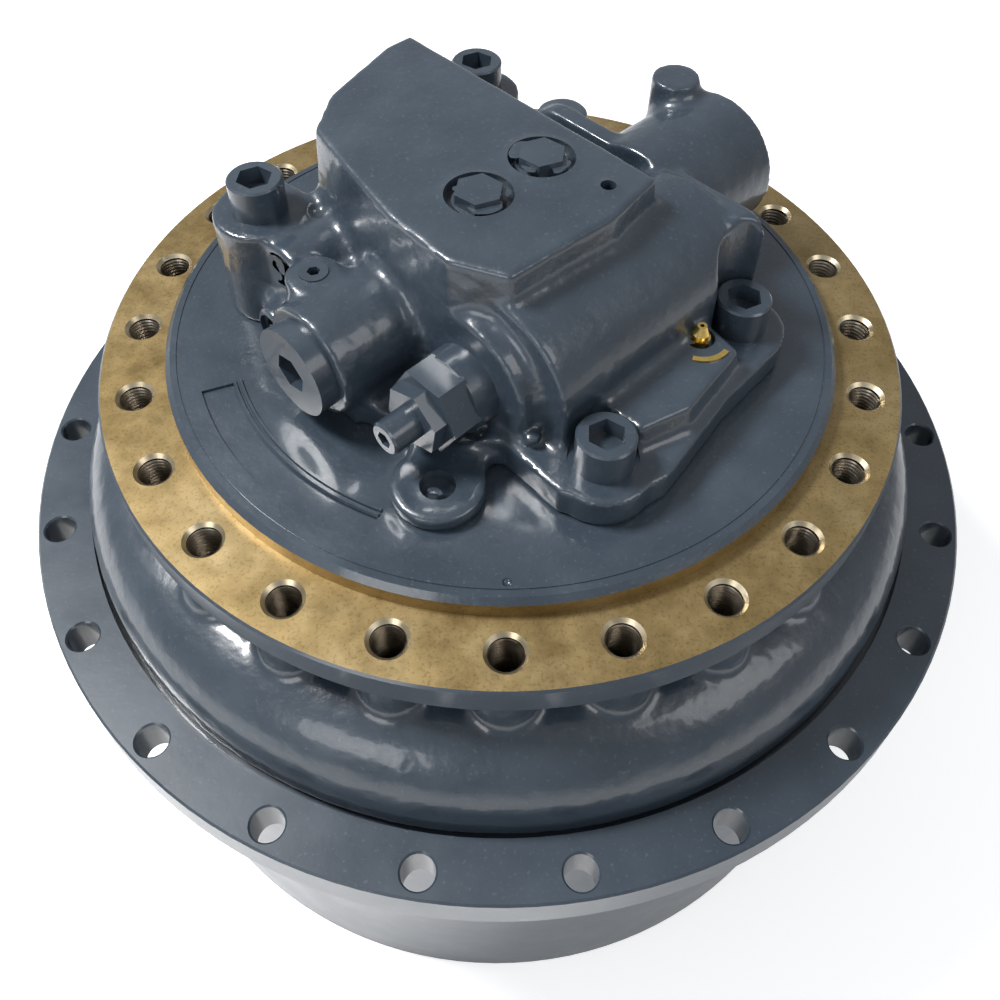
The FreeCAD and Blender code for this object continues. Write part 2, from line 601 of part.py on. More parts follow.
def frame_casting():
    lip_bottom = GROOVE_FLOOR + BELL_LIP_CLEARANCE
    knee = BELL_ARC * math.sqrt(0.5)
    shoulder = SPINDLE_RADIUS + SHOULDER_STEP
    body = turned([
        (0, SPINDLE_END), (SPINDLE_RADIUS, SPINDLE_END), (SPINDLE_RADIUS, BEARING_TOP),
        (shoulder, BEARING_TOP), (shoulder, HUB_TOP), (SEAL_INNER - 4, SEAL_ROOF), (SEAL_SEAT, SEAL_ROOF),
        (SEAL_SEAT, HUB_TOP + HOUSING_GAP), (BELL_RADIUS - BELL_WALL, HUB_TOP + HOUSING_GAP),
        (BELL_RADIUS - BELL_WALL, lip_bottom), (BELL_RADIUS, lip_bottom), (BELL_RADIUS, BELL_CENTRE_Z),
        ((BELL_CENTRE_R + knee, BELL_CENTRE_Z + knee), (BELL_CENTRE_R, BELL_CENTRE_Z + BELL_ARC)),
        (NECK_RADIUS + 10, BELL_CENTRE_Z + BELL_ARC),
        ((NECK_RADIUS + 3, BELL_CENTRE_Z + BELL_ARC + 3), (NECK_RADIUS, BELL_CENTRE_Z + BELL_ARC + 10)),
        (NECK_RADIUS, RING_UNDER), (RING_RADIUS - EDGE_CHAMFER, RING_UNDER),
        (RING_RADIUS, RING_UNDER + EDGE_CHAMFER), (RING_RADIUS, RING_FACE - EDGE_CHAMFER),
        (RING_RADIUS - EDGE_CHAMFER, RING_FACE), (SPIGOT_RADIUS, RING_FACE), (SPIGOT_RADIUS, SPIGOT_TOP - 3),
        (SPIGOT_RADIUS - 3, SPIGOT_TOP), (0, SPIGOT_TOP)])
    boss = disc(RING_BOSS_RADIUS, RING_UNDER - RING_BOSS_LENGTH, RING_UNDER + 2, RING_HOLE_CIRCLE, 0)
    body = body.fuse(ring_of(boss, RING_HOLES, RING_HOLE_ANGLE))
    hole = disc(RING_HOLE_RADIUS, RING_FACE - RING_HOLE_DEPTH, RING_FACE + 1, RING_HOLE_CIRCLE, 0)
    mouth = Part.makeCone(RING_HOLE_RADIUS, RING_HOLE_RADIUS + 2, 2, V(RING_HOLE_CIRCLE, 0, RING_FACE - 2))
    cutters = ring_of(hole, RING_HOLES, RING_HOLE_ANGLE) + ring_of(mouth, RING_HOLES, RING_HOLE_ANGLE)
    cutters.append(disc(CAVITY_RADIUS, CAVITY_FLOOR, SPIGOT_TOP + 1))
    cutters.append(swash_trough(SWASH_RADIUS + SOFT_CLEARANCE, SWASH_LENGTH + 2 * SOFT_CLEARANCE))
    cutters.append(disc(SHAFT_BORE_RADIUS, SPINDLE_END - 1, CAVITY_FLOOR))
    cutters.append(disc(SHAFT_BEARING_RADIUS, SPINDLE_END + SHAFT_SEAL_WIDTH + 1, CAVITY_FLOOR))
    servo = disc(SERVO_RADIUS, SERVO_BORE_BOTTOM, CAVITY_FLOOR, 0, SERVO_OFFSET)
    cutters.append(motor_place(servo))
    for place in BOLT_ANGLES:
        spot = polar(BOLT_CIRCLE, place[0])
        cutters.append(disc(BOLT_RADIUS + THREAD_FIT, SPIGOT_TOP - BOLT_THREAD - 6, SPIGOT_TOP + 1,
                            spot.x, spot.y))
    panel = turned([(PANEL_INNER, SPIGOT_TOP - PANEL_DEPTH), (PANEL_OUTER, SPIGOT_TOP - PANEL_DEPTH),
                    (PANEL_OUTER, SPIGOT_TOP + 1), (PANEL_INNER, SPIGOT_TOP + 1)])
    spread = PANEL_TO - PANEL_FROM
    wedge = Part.makeCylinder(RING_RADIUS, 10, V(0, 0, SPIGOT_TOP - 5), UP, spread)
    wedge.rotate(V(0, 0, 0), UP, PANEL_FROM)
    cutters.append(panel.common(wedge))
    spot = polar(SPIGOT_RADIUS - 11, -88.5)
    cutters.append(Part.makeSphere(2.5, V(spot.x, spot.y, SPIGOT_TOP + 0.8)))
    bolt_hole = disc(CARRIER_BOLT_RADIUS + THREAD_FIT, SPINDLE_END - 1, SPINDLE_END + CARRIER_BOLT_GRIP + 4,
                     CARRIER_BOLT_CIRCLE, 0)
    cutters += ring_of(bolt_hole, PLANETS, 60)
    return body.cut(cutters)


def carrier_2():
    plate = disc(CARRIER_2_RADIUS, CARRIER_2_BOTTOM, SPINDLE_END)
    cutters = ring_of(disc(PIN_RADIUS + SEAT_CLEARANCE, CARRIER_2_BOTTOM - 1, SPINDLE_END + 1,
                           GEAR_CENTRES, 0), PLANETS)
    cutters += ring_of(disc(CARRIER_BOLT_RADIUS + 0.5, CARRIER_2_BOTTOM - 1, SPINDLE_END + 1,
                            CARRIER_BOLT_CIRCLE, 0), PLANETS, 60)
    cutters.append(disc(SHAFT_BORE_RADIUS, CARRIER_2_BOTTOM - 1, SPINDLE_END + 1))
    return plate.cut(cutters)


def carrier_bolts():
    head_height = 2 * CARRIER_BOLT_RADIUS
    shank = disc(CARRIER_BOLT_RADIUS, CARRIER_2_BOTTOM - 1, SPINDLE_END + CARRIER_BOLT_GRIP,
                 CARRIER_BOLT_CIRCLE, 0)
    head = disc(CARRIER_BOLT_RADIUS * 1.5, CARRIER_2_BOTTOM - head_height, CARRIER_2_BOTTOM,
                CARRIER_BOLT_CIRCLE, 0)
    socket = hexagon(14, CARRIER_2_BOTTOM - head_height - 1, CARRIER_2_BOTTOM - 8, CARRIER_BOLT_CIRCLE, 0)
    return ring_of(shank.fuse(head).cut(socket), PLANETS, 60)


def planet_pins(plate, face, head_below):
    """Three pins that stand in a carrier plate and hold planets on its lower side."""
    pin = disc(PIN_RADIUS, head_below, plate, GEAR_CENTRES, 0)
    head = disc(PIN_HEAD_RADIUS, face - 0.5 - PIN_HEAD, face - 0.5, GEAR_CENTRES, 0)
    return ring_of(pin.fuse(head), PLANETS)


# ---- planetary stages ----------------------------------------------------------------------------
def planet(index, stage):
    angle = 2 * math.pi * index / PLANETS
    x = GEAR_CENTRES * math.cos(angle)
    y = GEAR_CENTRES * math.sin(angle)
    phase = angle - angle * RING_TEETH / PLANET_TEETH
    gear = spur_gear(PLANET_TEETH, stage[0], stage[1], phase, x, y)
    return gear.cut(disc(PIN_RADIUS + RUNNING_FIT, stage[0] - 1, stage[1] + 1, x, y))


def carrier_1():
    plate = disc(CARRIER_1_RADIUS, CARRIER_1_BOTTOM, CARRIER_1_TOP)
    cutters = ring_of(disc(PIN_RADIUS + SEAT_CLEARANCE, CARRIER_1_BOTTOM - 1, CARRIER_1_TOP + 1,
                           GEAR_CENTRES, 0), PLANETS)
    cutters.append(spline(CARRIER_SPLINE_OUTER, CARRIER_SPLINE_INNER, CARRIER_SPLINE_TEETH,
                          CARRIER_1_BOTTOM - 1, CARRIER_1_TOP + 1, SPLINE_CLEARANCE))
    return plate.cut(cutters)


def sun_gear_2():
    gear = spur_gear(SUN_TEETH, STAGE_2[0], STAGE_2[1], math.pi / SUN_TEETH)
    hub = spline(CARRIER_SPLINE_OUTER, CARRIER_SPLINE_INNER, CARRIER_SPLINE_TEETH,
                 CARRIER_1_BOTTOM, CARRIER_1_TOP)
    collar = disc(CARRIER_SPLINE_INNER, CARRIER_1_TOP - 1, STAGE_2[0] + 1)
    bore = disc(SUN_2_BORE, CARRIER_1_BOTTOM - 1, STAGE_2[1] + 1)
    return gear.fuse([hub, collar]).cut(bore)


def sun_gear_1():
    gear = spur_gear(SUN_TEETH, STAGE_1[0], STAGE_1[1], math.pi / SUN_TEETH)
    shaft = disc(SUN_SHAFT_RADIUS, STAGE_1[1] - 1, SHAFT_BOTTOM - 1)
    end = spline(SUN_SHAFT_RADIUS, SHAFT_SPLINE_INNER, SHAFT_SPLINE_TEETH, SHAFT_BOTTOM - 2,
                 SHAFT_BOTTOM + SOCKET_DEPTH - 2)
    return gear.fuse([shaft, end])


# ---- rotating group ------------------------------------------------------------------------------
def motor_shaft():
    shaft = disc(SHAFT_RADIUS, SHAFT_BOTTOM, SHAFT_TOP)
    socket = spline(SUN_SHAFT_RADIUS, SHAFT_SPLINE_INNER, SHAFT_SPLINE_TEETH, SHAFT_BOTTOM - 1,
                    SHAFT_BOTTOM + SOCKET_DEPTH, SPLINE_CLEARANCE)
    return shaft.cut(socket)


def cylinder_block():
    body = disc(BLOCK_RADIUS, BLOCK_BOTTOM, BLOCK_TOP)
    cutters = ring_of(disc(PISTON_RADIUS + RUNNING_FIT, BLOCK_BOTTOM - 1, PISTON_TOP + 6, PISTON_CIRCLE, 0),
                      PISTONS)
    kidney = disc(5, PISTON_TOP + 5, BLOCK_TOP + 1, PISTON_CIRCLE, 0)
    cutters += ring_of(kidney, PISTONS)
    cutters.append(disc(SHAFT_RADIUS + SEAT_CLEARANCE, BLOCK_BOTTOM - 1, BLOCK_TOP + 1))
    groove = box(BLOCK_RADIUS - BRAKE_LUG_DEPTH, BLOCK_RADIUS + 1, -BRAKE_LUG_WIDTH / 2, BRAKE_LUG_WIDTH / 2,
                 BRAKE_BOTTOM - 1, BLOCK_TOP + 1)
    cutters += ring_of(groove, BRAKE_LUGS)
    return body.cut(cutters)


def pistons():
    body = disc(PISTON_RADIUS, SHOE_BOTTOM + SHOE_HEIGHT + 0.3, PISTON_TOP, PISTON_CIRCLE, 0)
    bore = disc(5, SHOE_BOTTOM + SHOE_HEIGHT + 14, PISTON_TOP + 1, PISTON_CIRCLE, 0)
    neck = disc(5, SHOE_BOTTOM + SHOE_HEIGHT - 2, SHOE_BOTTOM + SHOE_HEIGHT + 1, PISTON_CIRCLE, 0)
    return ring_of(body.fuse(neck).cut(bore), PISTONS)


def piston_shoes():
    plate = disc(SHOE_RADIUS, SHOE_BOTTOM, SHOE_BOTTOM + SHOE_THICK, PISTON_CIRCLE, 0)
    neck = disc(SHOE_NECK, SHOE_BOTTOM + 1, SHOE_BOTTOM + SHOE_HEIGHT, PISTON_CIRCLE, 0)
    socket = disc(5 + RUNNING_FIT, SHOE_BOTTOM + SHOE_HEIGHT - 3, SHOE_BOTTOM + SHOE_HEIGHT + 1,
                  PISTON_CIRCLE, 0)
    return ring_of(plate.fuse(neck).cut(socket), PISTONS)


def retainer_plate():
    z0 = SHOE_BOTTOM + SHOE_THICK + RUNNING_FIT
    body = tube(RETAINER_RADIUS, RETAINER_BORE, z0, z0 + RETAINER_THICK)
    return body.cut(ring_of(disc(SHOE_NECK + SOFT_CLEARANCE, z0 - 1, z0 + RETAINER_THICK + 1,
                                 PISTON_CIRCLE, 0), PISTONS))


def brake_discs():
    discs = []
    for k in range(BRAKE_DISCS):
        z0 = BRAKE_BOTTOM + k * 2 * (BRAKE_DISC_THICK + BRAKE_GAP)
        z1 = z0 + BRAKE_DISC_THICK
        ring = tube(BRAKE_OUTER, BLOCK_RADIUS + SOFT_CLEARANCE, z0, z1)
        lug = box(BLOCK_RADIUS - BRAKE_LUG_DEPTH + SOFT_CLEARANCE, BLOCK_RADIUS + 2,
                  SOFT_CLEARANCE - BRAKE_LUG_WIDTH / 2, BRAKE_LUG_WIDTH / 2 - SOFT_CLEARANCE, z0, z1)
        discs.append(ring.fuse(ring_of(lug, BRAKE_LUGS)))
    return discs


def brake_plates():
    plates = []
    for k in range(BRAKE_DISCS):
        z0 = BRAKE_BOTTOM + (2 * k + 1) * (BRAKE_DISC_THICK + BRAKE_GAP)
        plates.append(tube(CAVITY_RADIUS - SEAT_CLEARANCE, BRAKE_INNER, z0, z0 + BRAKE_DISC_THICK))
    return plates


def brake_piston():
    z0 = BRAKE_BOTTOM + 2 * BRAKE_DISCS * (BRAKE_DISC_THICK + BRAKE_GAP)
    return tube(CAVITY_RADIUS - RUNNING_FIT, BRAKE_INNER, z0, BRAKE_PISTON_TOP)


def brake_springs():
    length = SPIGOT_TOP + BRAKE_POCKET_DEPTH - BRAKE_PISTON_TOP - 2 * SPRING_END
    coil = spring(BRAKE_SPRING_RADIUS, BRAKE_SPRING_WIRE, length, 6)
    coil.translate(V(BRAKE_SPRING_CIRCLE, 0, BRAKE_PISTON_TOP + SPRING_END))
    return ring_of(coil, BRAKE_SPRINGS, BRAKE_SPRING_ANGLE)


def valve_plate():
    z0 = SPIGOT_TOP - VALVE_PLATE_THICK
    plate = tube(VALVE_PLATE_RADIUS, SHAFT_RADIUS + 2, z0, SPIGOT_TOP)
    slots = []
    for side in (-1, 1):
        for k in range(-3, 4):
            spot = polar(PISTON_CIRCLE, 90 * side + 18 * k)
            slots.append(disc(5, z0 - 1, SPIGOT_TOP + 1, spot.x, spot.y))
    return plate.cut(slots)


def swash_plate():
    """At rest it leans by SWASH_TILT about the motor's U axis, with the +V side up."""
    half = SWASH_LENGTH / 2
    round_bar = Part.makeCylinder(SWASH_RADIUS, SWASH_LENGTH, V(-half, 0, 0), V(1, 0, 0))
    reach = SWASH_RADIUS + 1
    above = box(-half - 1, half + 1, -reach, reach, -SWASH_FACE, reach)
    middle = half - SWASH_SADDLE
    below = box(-middle, middle, -reach, reach, -reach, -SWASH_FACE - SWASH_THICK)
    bore = Part.makeCylinder(SWASH_BORE, 2 * reach, V(0, 0, -reach))
    plate = round_bar.cut([above, below, bore])
    plate.rotate(V(0, 0, 0), V(1, 0, 0), SWASH_TILT)
    plate.translate(V(0, 0, SWASH_AXIS))
    return motor_place(plate)


def servo_piston():
    tilt = math.radians(SWASH_TILT)
    lift = SWASH_FACE + SWASH_THICK + SERVO_RADIUS + SOFT_CLEARANCE
    centre = SWASH_AXIS - (lift - SERVO_OFFSET * math.sin(tilt)) / math.cos(tilt)
    radius = SERVO_RADIUS - RUNNING_FIT
    body = disc(radius, SERVO_BOTTOM, centre, 0, SERVO_OFFSET)
    tip = Part.makeSphere(radius, V(0, SERVO_OFFSET, centre))
    return motor_place(body.fuse(tip))


# ---- motor case ----------------------------------------------------------------------------------
def case_bolts():
    """The motor bolts' places in the motor's own axes, with their lug heights."""
    places = []
    for angle, lug in BOLT_ANGLES:
        spot = polar(BOLT_CIRCLE, angle - MOTOR_TURN)
        places.append((spot.x, spot.y, SPIGOT_TOP + lug))
    return places


def web(u, v, width, z0, z1):
    """A straight rib from the motor's axis out to (u, v)."""
    reach = math.hypot(u, v)
    rib = box(0, reach, -width / 2, width / 2, z0, z1)
    rib.rotate(V(0, 0, 0), UP, math.degrees(math.atan2(v, u)))
    return rib


def motor_case():
    z0 = SPIGOT_TOP
    foot = z0 + BASE_THICK
    pieces = [disc(BASE_RADIUS, z0, foot)]
    for u, v, top in case_bolts():
        pieces.append(disc(LUG_RADIUS, z0, top, u, v))
        pieces.append(web(u, v, 1.6 * LUG_RADIUS, z0, top - 6))
    pieces.append(drafted_prism(BLOCK_OUTLINE, foot - 2, CASE_TOP, BLOCK_DRAFT))
    shoulder_z = z0 + SHOULDER_RISE
    back = PLATE_BACK - PLATE_THICK
    pieces.append(along_v(SHOULDER_RADIUS, SHOULDER_U, shoulder_z, SHOULDER_FRONT, back + 1))
    pieces.append(box(0, SHOULDER_U + SHOULDER_RADIUS, SHOULDER_FRONT, back + 1, z0, shoulder_z))
    plate = box(PLATE_LEFT, PLATE_RIGHT, back, PLATE_BACK, z0, z0 + PLATE_RISE)
    corners = []
    for edge in plate.Edges:
        middle = edge.CenterOfMass
        if abs(middle.z - (z0 + PLATE_RISE)) < 0.1 and abs(middle.y - (back + PLATE_THICK / 2)) < 0.1:
            corners.append(edge)
    pieces.append(plate.makeFillet(PLATE_ROUND, corners))
    rear_z = z0 + REAR_PORT_RISE
    pieces.append(along_v(REAR_PORT_RADIUS, REAR_PORT_U, rear_z, back, REAR_PORT_END))
    pieces.append(box(REAR_PORT_U - REAR_PORT_FOOT, REAR_PORT_U + REAR_PORT_FOOT, back, REAR_PORT_END - 12,
                      z0, rear_z))
    pieces.append(disc(14, rear_z, rear_z + REAR_PORT_RADIUS + 8, REAR_PORT_U - 26, REAR_PORT_END - 16))
    pieces.append(along_v(RELIEF_BOSS_RADIUS, RELIEF_U, PORT_AXIS, RELIEF_FACE, 0))
    pieces.append(box(RELIEF_U - RELIEF_FOOT, RELIEF_U + RELIEF_FOOT, RELIEF_FACE + 4, 0, z0, PORT_AXIS))
    pieces.append(along_v(SPOOL_BOSS_RADIUS, SPOOL_U, PORT_AXIS, SPOOL_FACE, back))
    pieces.append(box(SPOOL_U - SPOOL_FOOT, SPOOL_U + SPOOL_FOOT, SPOOL_FACE + 8, 0, z0, PORT_AXIS))
    pieces.append(disc(GAUGE_BOSS_RADIUS, z0 + 20, z0 + GAUGE_RISE, GAUGE_U, GAUGE_V))
    for u, rise, face, outer, bore in SIDE_PORTS:
        pieces.append(along_v(outer, u, z0 + rise, face, -30))
        pieces.append(box(u - outer, u + outer, face + 10, -30, z0, z0 + rise))
    pieces.append(disc(HUMP[2], foot - 2, z0 + HUMP[3], HUMP[0], HUMP[1]))
    pieces.append(prism(EAR_OUTLINE, z0, z0 + LOW_LUG))
    pieces.append(drafted_prism(PAD_OUTLINE, z0 + 2, z0 + PAD_RISE, PAD_DRAFT))
    pieces.append(disc(LOBE[2], z0, z0 + LOBE[3], LOBE[0], LOBE[1]))
    pieces.append(web(LOBE[0], LOBE[1], 1.7 * LOBE[2], z0, z0 + LOBE[3]))
    body = pieces[0].fuse(pieces[1:])

    cutters = [disc(FLANGE_RADIUS, z0 - 20, z0)]
    cutters.append(along_v(RELIEF_HEX * 0.68, RELIEF_U, PORT_AXIS, RELIEF_SCREW_END - 2, RELIEF_FACE))
    for u, v, top in case_bolts():
        cutters.append(disc(BOLT_RADIUS + BOLT_CLEARANCE, z0 - 1, top + 1, u, v))
        cutters.append(disc(BOLT_HEAD_RADIUS + 3, top, CASE_TOP + 10, u, v))
    for u, v in TOP_PLUGS:
        cutters.append(disc(TOP_PLUG_BORE, CASE_TOP - TOP_PLUG_SINK, CASE_TOP + 1, u, v))
        stem_bottom = CASE_TOP - TOP_PLUG_SINK - TOP_PLUG_STEM - 3
        cutters.append(disc(TOP_PLUG_STEM_RADIUS + THREAD_FIT, stem_bottom, CASE_TOP, u, v))
    cutters.append(disc(TAP_HOLE[2], CASE_TOP - TAP_HOLE[3], CASE_TOP + 1, TAP_HOLE[0], TAP_HOLE[1]))
    cutters.append(disc(BUSH_RADIUS + SEAT_CLEARANCE, z0 - 1, SHAFT_TOP + 3))
    pocket = disc(BRAKE_POCKET_RADIUS, z0 - 1, z0 + BRAKE_POCKET_DEPTH, BRAKE_SPRING_CIRCLE, 0)
    cutters += ring_of(pocket, BRAKE_SPRINGS, BRAKE_SPRING_ANGLE - MOTOR_TURN)
    cutters.append(along_v(RELIEF_COLLAR_RADIUS + THREAD_FIT, RELIEF_U, PORT_AXIS, RELIEF_FACE - 1,
                           RELIEF_FACE + RELIEF_DEPTH))
    cutters.append(along_v(RELIEF_SEAT_RADIUS, RELIEF_U, PORT_AXIS, RELIEF_FACE,
                           RELIEF_FACE + RELIEF_DEPTH + RELIEF_SEAT_DEPTH))
    cutters.append(along_v(SPOOL_RADIUS, SPOOL_U, PORT_AXIS, SPOOL_FACE - 1, SPOOL_BORE_END))
    cutters.append(along_v(CAP_STEM_RADIUS + THREAD_FIT, SPOOL_U, PORT_AXIS, SPOOL_FACE - 1,
                           SPOOL_FACE + CAP_STEM))
    cutters.append(along_v(REAR_PORT_BORE, REAR_PORT_U, rear_z, REAR_PORT_END - REAR_PORT_DEPTH,
                           REAR_PORT_END + 1))
    cutters.append(disc(GAUGE_PLUG_RADIUS + THREAD_FIT, z0 + GAUGE_RISE - 10, z0 + GAUGE_RISE + 4,
                        GAUGE_U, GAUGE_V))
    for u, rise, face, outer, bore in SIDE_PORTS:
        cutters.append(along_v(bore, u, z0 + rise, face - 1, face + SIDE_PORT_DEPTH))
        cutters.append(along_v(outer - 3.5, u, z0 + rise, face - 1, face + 2))
    cutters.append(disc(LOBE_PLUG[2], z0 + LOBE[3] - LOBE_PLUG[3], z0 + LOBE[3] + 1, LOBE_PLUG[0],
                        LOBE_PLUG[1]))
    cutters.append(disc(8, z0 + PAD_RISE - 3, z0 + PAD_RISE + 1, NIPPLE_UV[0], NIPPLE_UV[1]))
    cutters.append(disc(4 + THREAD_FIT, z0 + PAD_RISE - 14, z0 + PAD_RISE, NIPPLE_UV[0], NIPPLE_UV[1]))
    return motor_place(body.cut(cutters))


def motor_bolts():
    bolts = []
    for u, v, top in case_bolts():
        shank = disc(BOLT_RADIUS, SPIGOT_TOP - BOLT_THREAD, top + 1, u, v)
        head = disc(BOLT_HEAD_RADIUS, top, top + BOLT_HEAD_HEIGHT, u, v)
        rim = [edge for edge in head.Edges if abs(edge.CenterOfMass.z - top - BOLT_HEAD_HEIGHT) < 0.01]
        head = head.makeChamfer(1.0, rim)
        socket = hexagon(BOLT_SOCKET, top + BOLT_HEAD_HEIGHT - BOLT_SOCKET_DEPTH,
                         top + BOLT_HEAD_HEIGHT + 1, u, v, 12)
        bolts.append(motor_place(head.fuse(shank).cut(socket)))
    return bolts


def case_top_plugs():
    seat = CASE_TOP - TOP_PLUG_SINK
    plugs = []
    for u, v in TOP_PLUGS:
        stem = disc(TOP_PLUG_STEM_RADIUS, seat - TOP_PLUG_STEM, seat + 1, u, v)
        washer = disc(TOP_PLUG_HEX * 0.62, seat, seat + 2, u, v)
        head = hexagon(TOP_PLUG_HEX, seat, seat + TOP_PLUG_HEIGHT, u, v, 8)
        plugs.append(motor_place(head.fuse([stem, washer])))
    return plugs


def spool_cap():
    face = -SPOOL_FACE
    body = disc(CAP_RADIUS, face, face + CAP_THICK)
    stem = disc(CAP_STEM_RADIUS, face - CAP_STEM + 1, face + 1)
    socket = hexagon(CAP_SOCKET, face + CAP_THICK - CAP_SOCKET_DEPTH, face + CAP_THICK + 1, turn=15)
    return motor_place(lay_along_v(body.fuse(stem).cut(socket), SPOOL_U, PORT_AXIS))


def counterbalance_spool():
    z0 = -SPOOL_CENTRE - SPOOL_LENGTH / 2
    spool = disc(SPOOL_RADIUS - RUNNING_FIT, z0, z0 + SPOOL_LENGTH)
    waist = tube(SPOOL_RADIUS + 1, SPOOL_GROOVE, z0 + SPOOL_LAND, z0 + SPOOL_LENGTH / 2 - SPOOL_LAND / 2)
    other = tube(SPOOL_RADIUS + 1, SPOOL_GROOVE, z0 + SPOOL_LENGTH / 2 + SPOOL_LAND / 2,
                 z0 + SPOOL_LENGTH - SPOOL_LAND)
    return motor_place(lay_along_v(spool.cut([waist, other]), SPOOL_U, PORT_AXIS))


def spool_springs():
    low = -SPOOL_BORE_END
    spool_low = -SPOOL_CENTRE - SPOOL_LENGTH / 2
    spool_high = spool_low + SPOOL_LENGTH
    high = -SPOOL_FACE - CAP_STEM + 1
    springs = []
    for start, end in ((low, spool_low), (spool_high, high)):
        length = end - start - 2 * SPRING_END
        coil = spring(SPOOL_SPRING_RADIUS, SPOOL_SPRING_WIRE, length, 5)
        coil.translate(V(0, 0, start + SPRING_END))
        springs.append(motor_place(lay_along_v(coil, SPOOL_U, PORT_AXIS)))
    return springs


def gauge_plug():
    top = SPIGOT_TOP + GAUGE_RISE
    body = disc(GAUGE_PLUG_RADIUS, top - 9, top + 1.5, GAUGE_U, GAUGE_V)
    return motor_place(body.cut(hexagon(6, top - 4, top + 2, GAUGE_U, GAUGE_V)))


def relief_body():
    inner = -RELIEF_FACE - RELIEF_DEPTH
    collar = disc(RELIEF_COLLAR_RADIUS, inner, -RELIEF_COLLAR_END)
    hexed = hexagon(RELIEF_HEX, -RELIEF_COLLAR_END - 1, -RELIEF_HEX_END)
    bore = disc(RELIEF_BORE, inner - 1, -RELIEF_HEX_END - 12)
    thread = disc(RELIEF_SCREW_RADIUS + THREAD_FIT, inner, -RELIEF_HEX_END + 1)
    return motor_place(lay_along_v(collar.fuse(hexed).cut([bore, thread]), RELIEF_U, PORT_AXIS))


def relief_locknut():
    z0 = -RELIEF_HEX_END
    nut = hexagon(RELIEF_NUT, z0, z0 + RELIEF_NUT_THICK, turn=20)
    return motor_place(lay_along_v(nut.cut(disc(RELIEF_SCREW_RADIUS + THREAD_FIT, z0 - 1, z0 + 20)),
                                   RELIEF_U, PORT_AXIS))


def relief_adjuster():
    end = -RELIEF_SCREW_END
    screw = disc(RELIEF_SCREW_RADIUS, -RELIEF_HEX_END - RELIEF_SCREW_GRIP, end)
    tip = [edge for edge in screw.Edges if abs(edge.CenterOfMass.z - end) < 0.01]
    screw = screw.makeChamfer(1.2, tip)
    socket = hexagon(RELIEF_SCREW_SOCKET, end - 7, end + 1, turn=10)
    return motor_place(lay_along_v(screw.cut(socket), RELIEF_U, PORT_AXIS))


def relief_poppet():
    seat = -RELIEF_FACE - RELIEF_DEPTH
    body = disc(RELIEF_BORE - RUNNING_FIT, seat + SOFT_CLEARANCE, seat + RELIEF_POPPET_LENGTH)
    back = disc(4, seat + RELIEF_POPPET_LENGTH - 1, seat + RELIEF_POPPET_LENGTH + 5)
    return motor_place(lay_along_v(body.fuse(back), RELIEF_U, PORT_AXIS))


def relief_spring():
    start = -RELIEF_FACE - RELIEF_DEPTH + RELIEF_POPPET_LENGTH + SPRING_END
    end = -RELIEF_HEX_END - RELIEF_SCREW_GRIP - SPRING_END
    coil = spring(RELIEF_SPRING_RADIUS, RELIEF_SPRING_WIRE, end - start, 4)
    coil.translate(V(0, 0, start))
    return motor_place(lay_along_v(coil, RELIEF_U, PORT_AXIS))


def bleed_nipple():
    u, v = NIPPLE_UV
    z0 = SPIGOT_TOP + PAD_RISE - 3
    thread = disc(4, z0 - 10, z0 + 1, u, v)
    body = disc(5.5, z0, z0 + 5, u, v)
    neck = disc(3.2, z0 + 4, z0 + 8, u, v)
    cone = Part.makeCone(4.6, 2.6, 5, V(u, v, z0 + 7.5))
    bore = disc(1.1, z0 + 4, z0 + 14, u, v)
    return motor_place(body.fuse([thread, neck, cone]).cut(bore))


def lock_strip():
    """The spring clip that keeps the nipple from turning: a thin curved strip on the lug."""
    u, v = NIPPLE_UV
    z0 = SPIGOT_TOP + PAD_RISE
    outer = Part.makeCylinder(STRIP_RADIUS + STRIP_WIDTH, STRIP_THICK, V(u, v, z0), UP, STRIP_SPREAD)
    inner = Part.makeCylinder(STRIP_RADIUS, STRIP_THICK + 2, V(u, v, z0 - 1))
    strip = outer.cut(inner)
    strip.rotate(V(u, v, z0), UP, STRIP_FROM)
    return motor_place(strip)


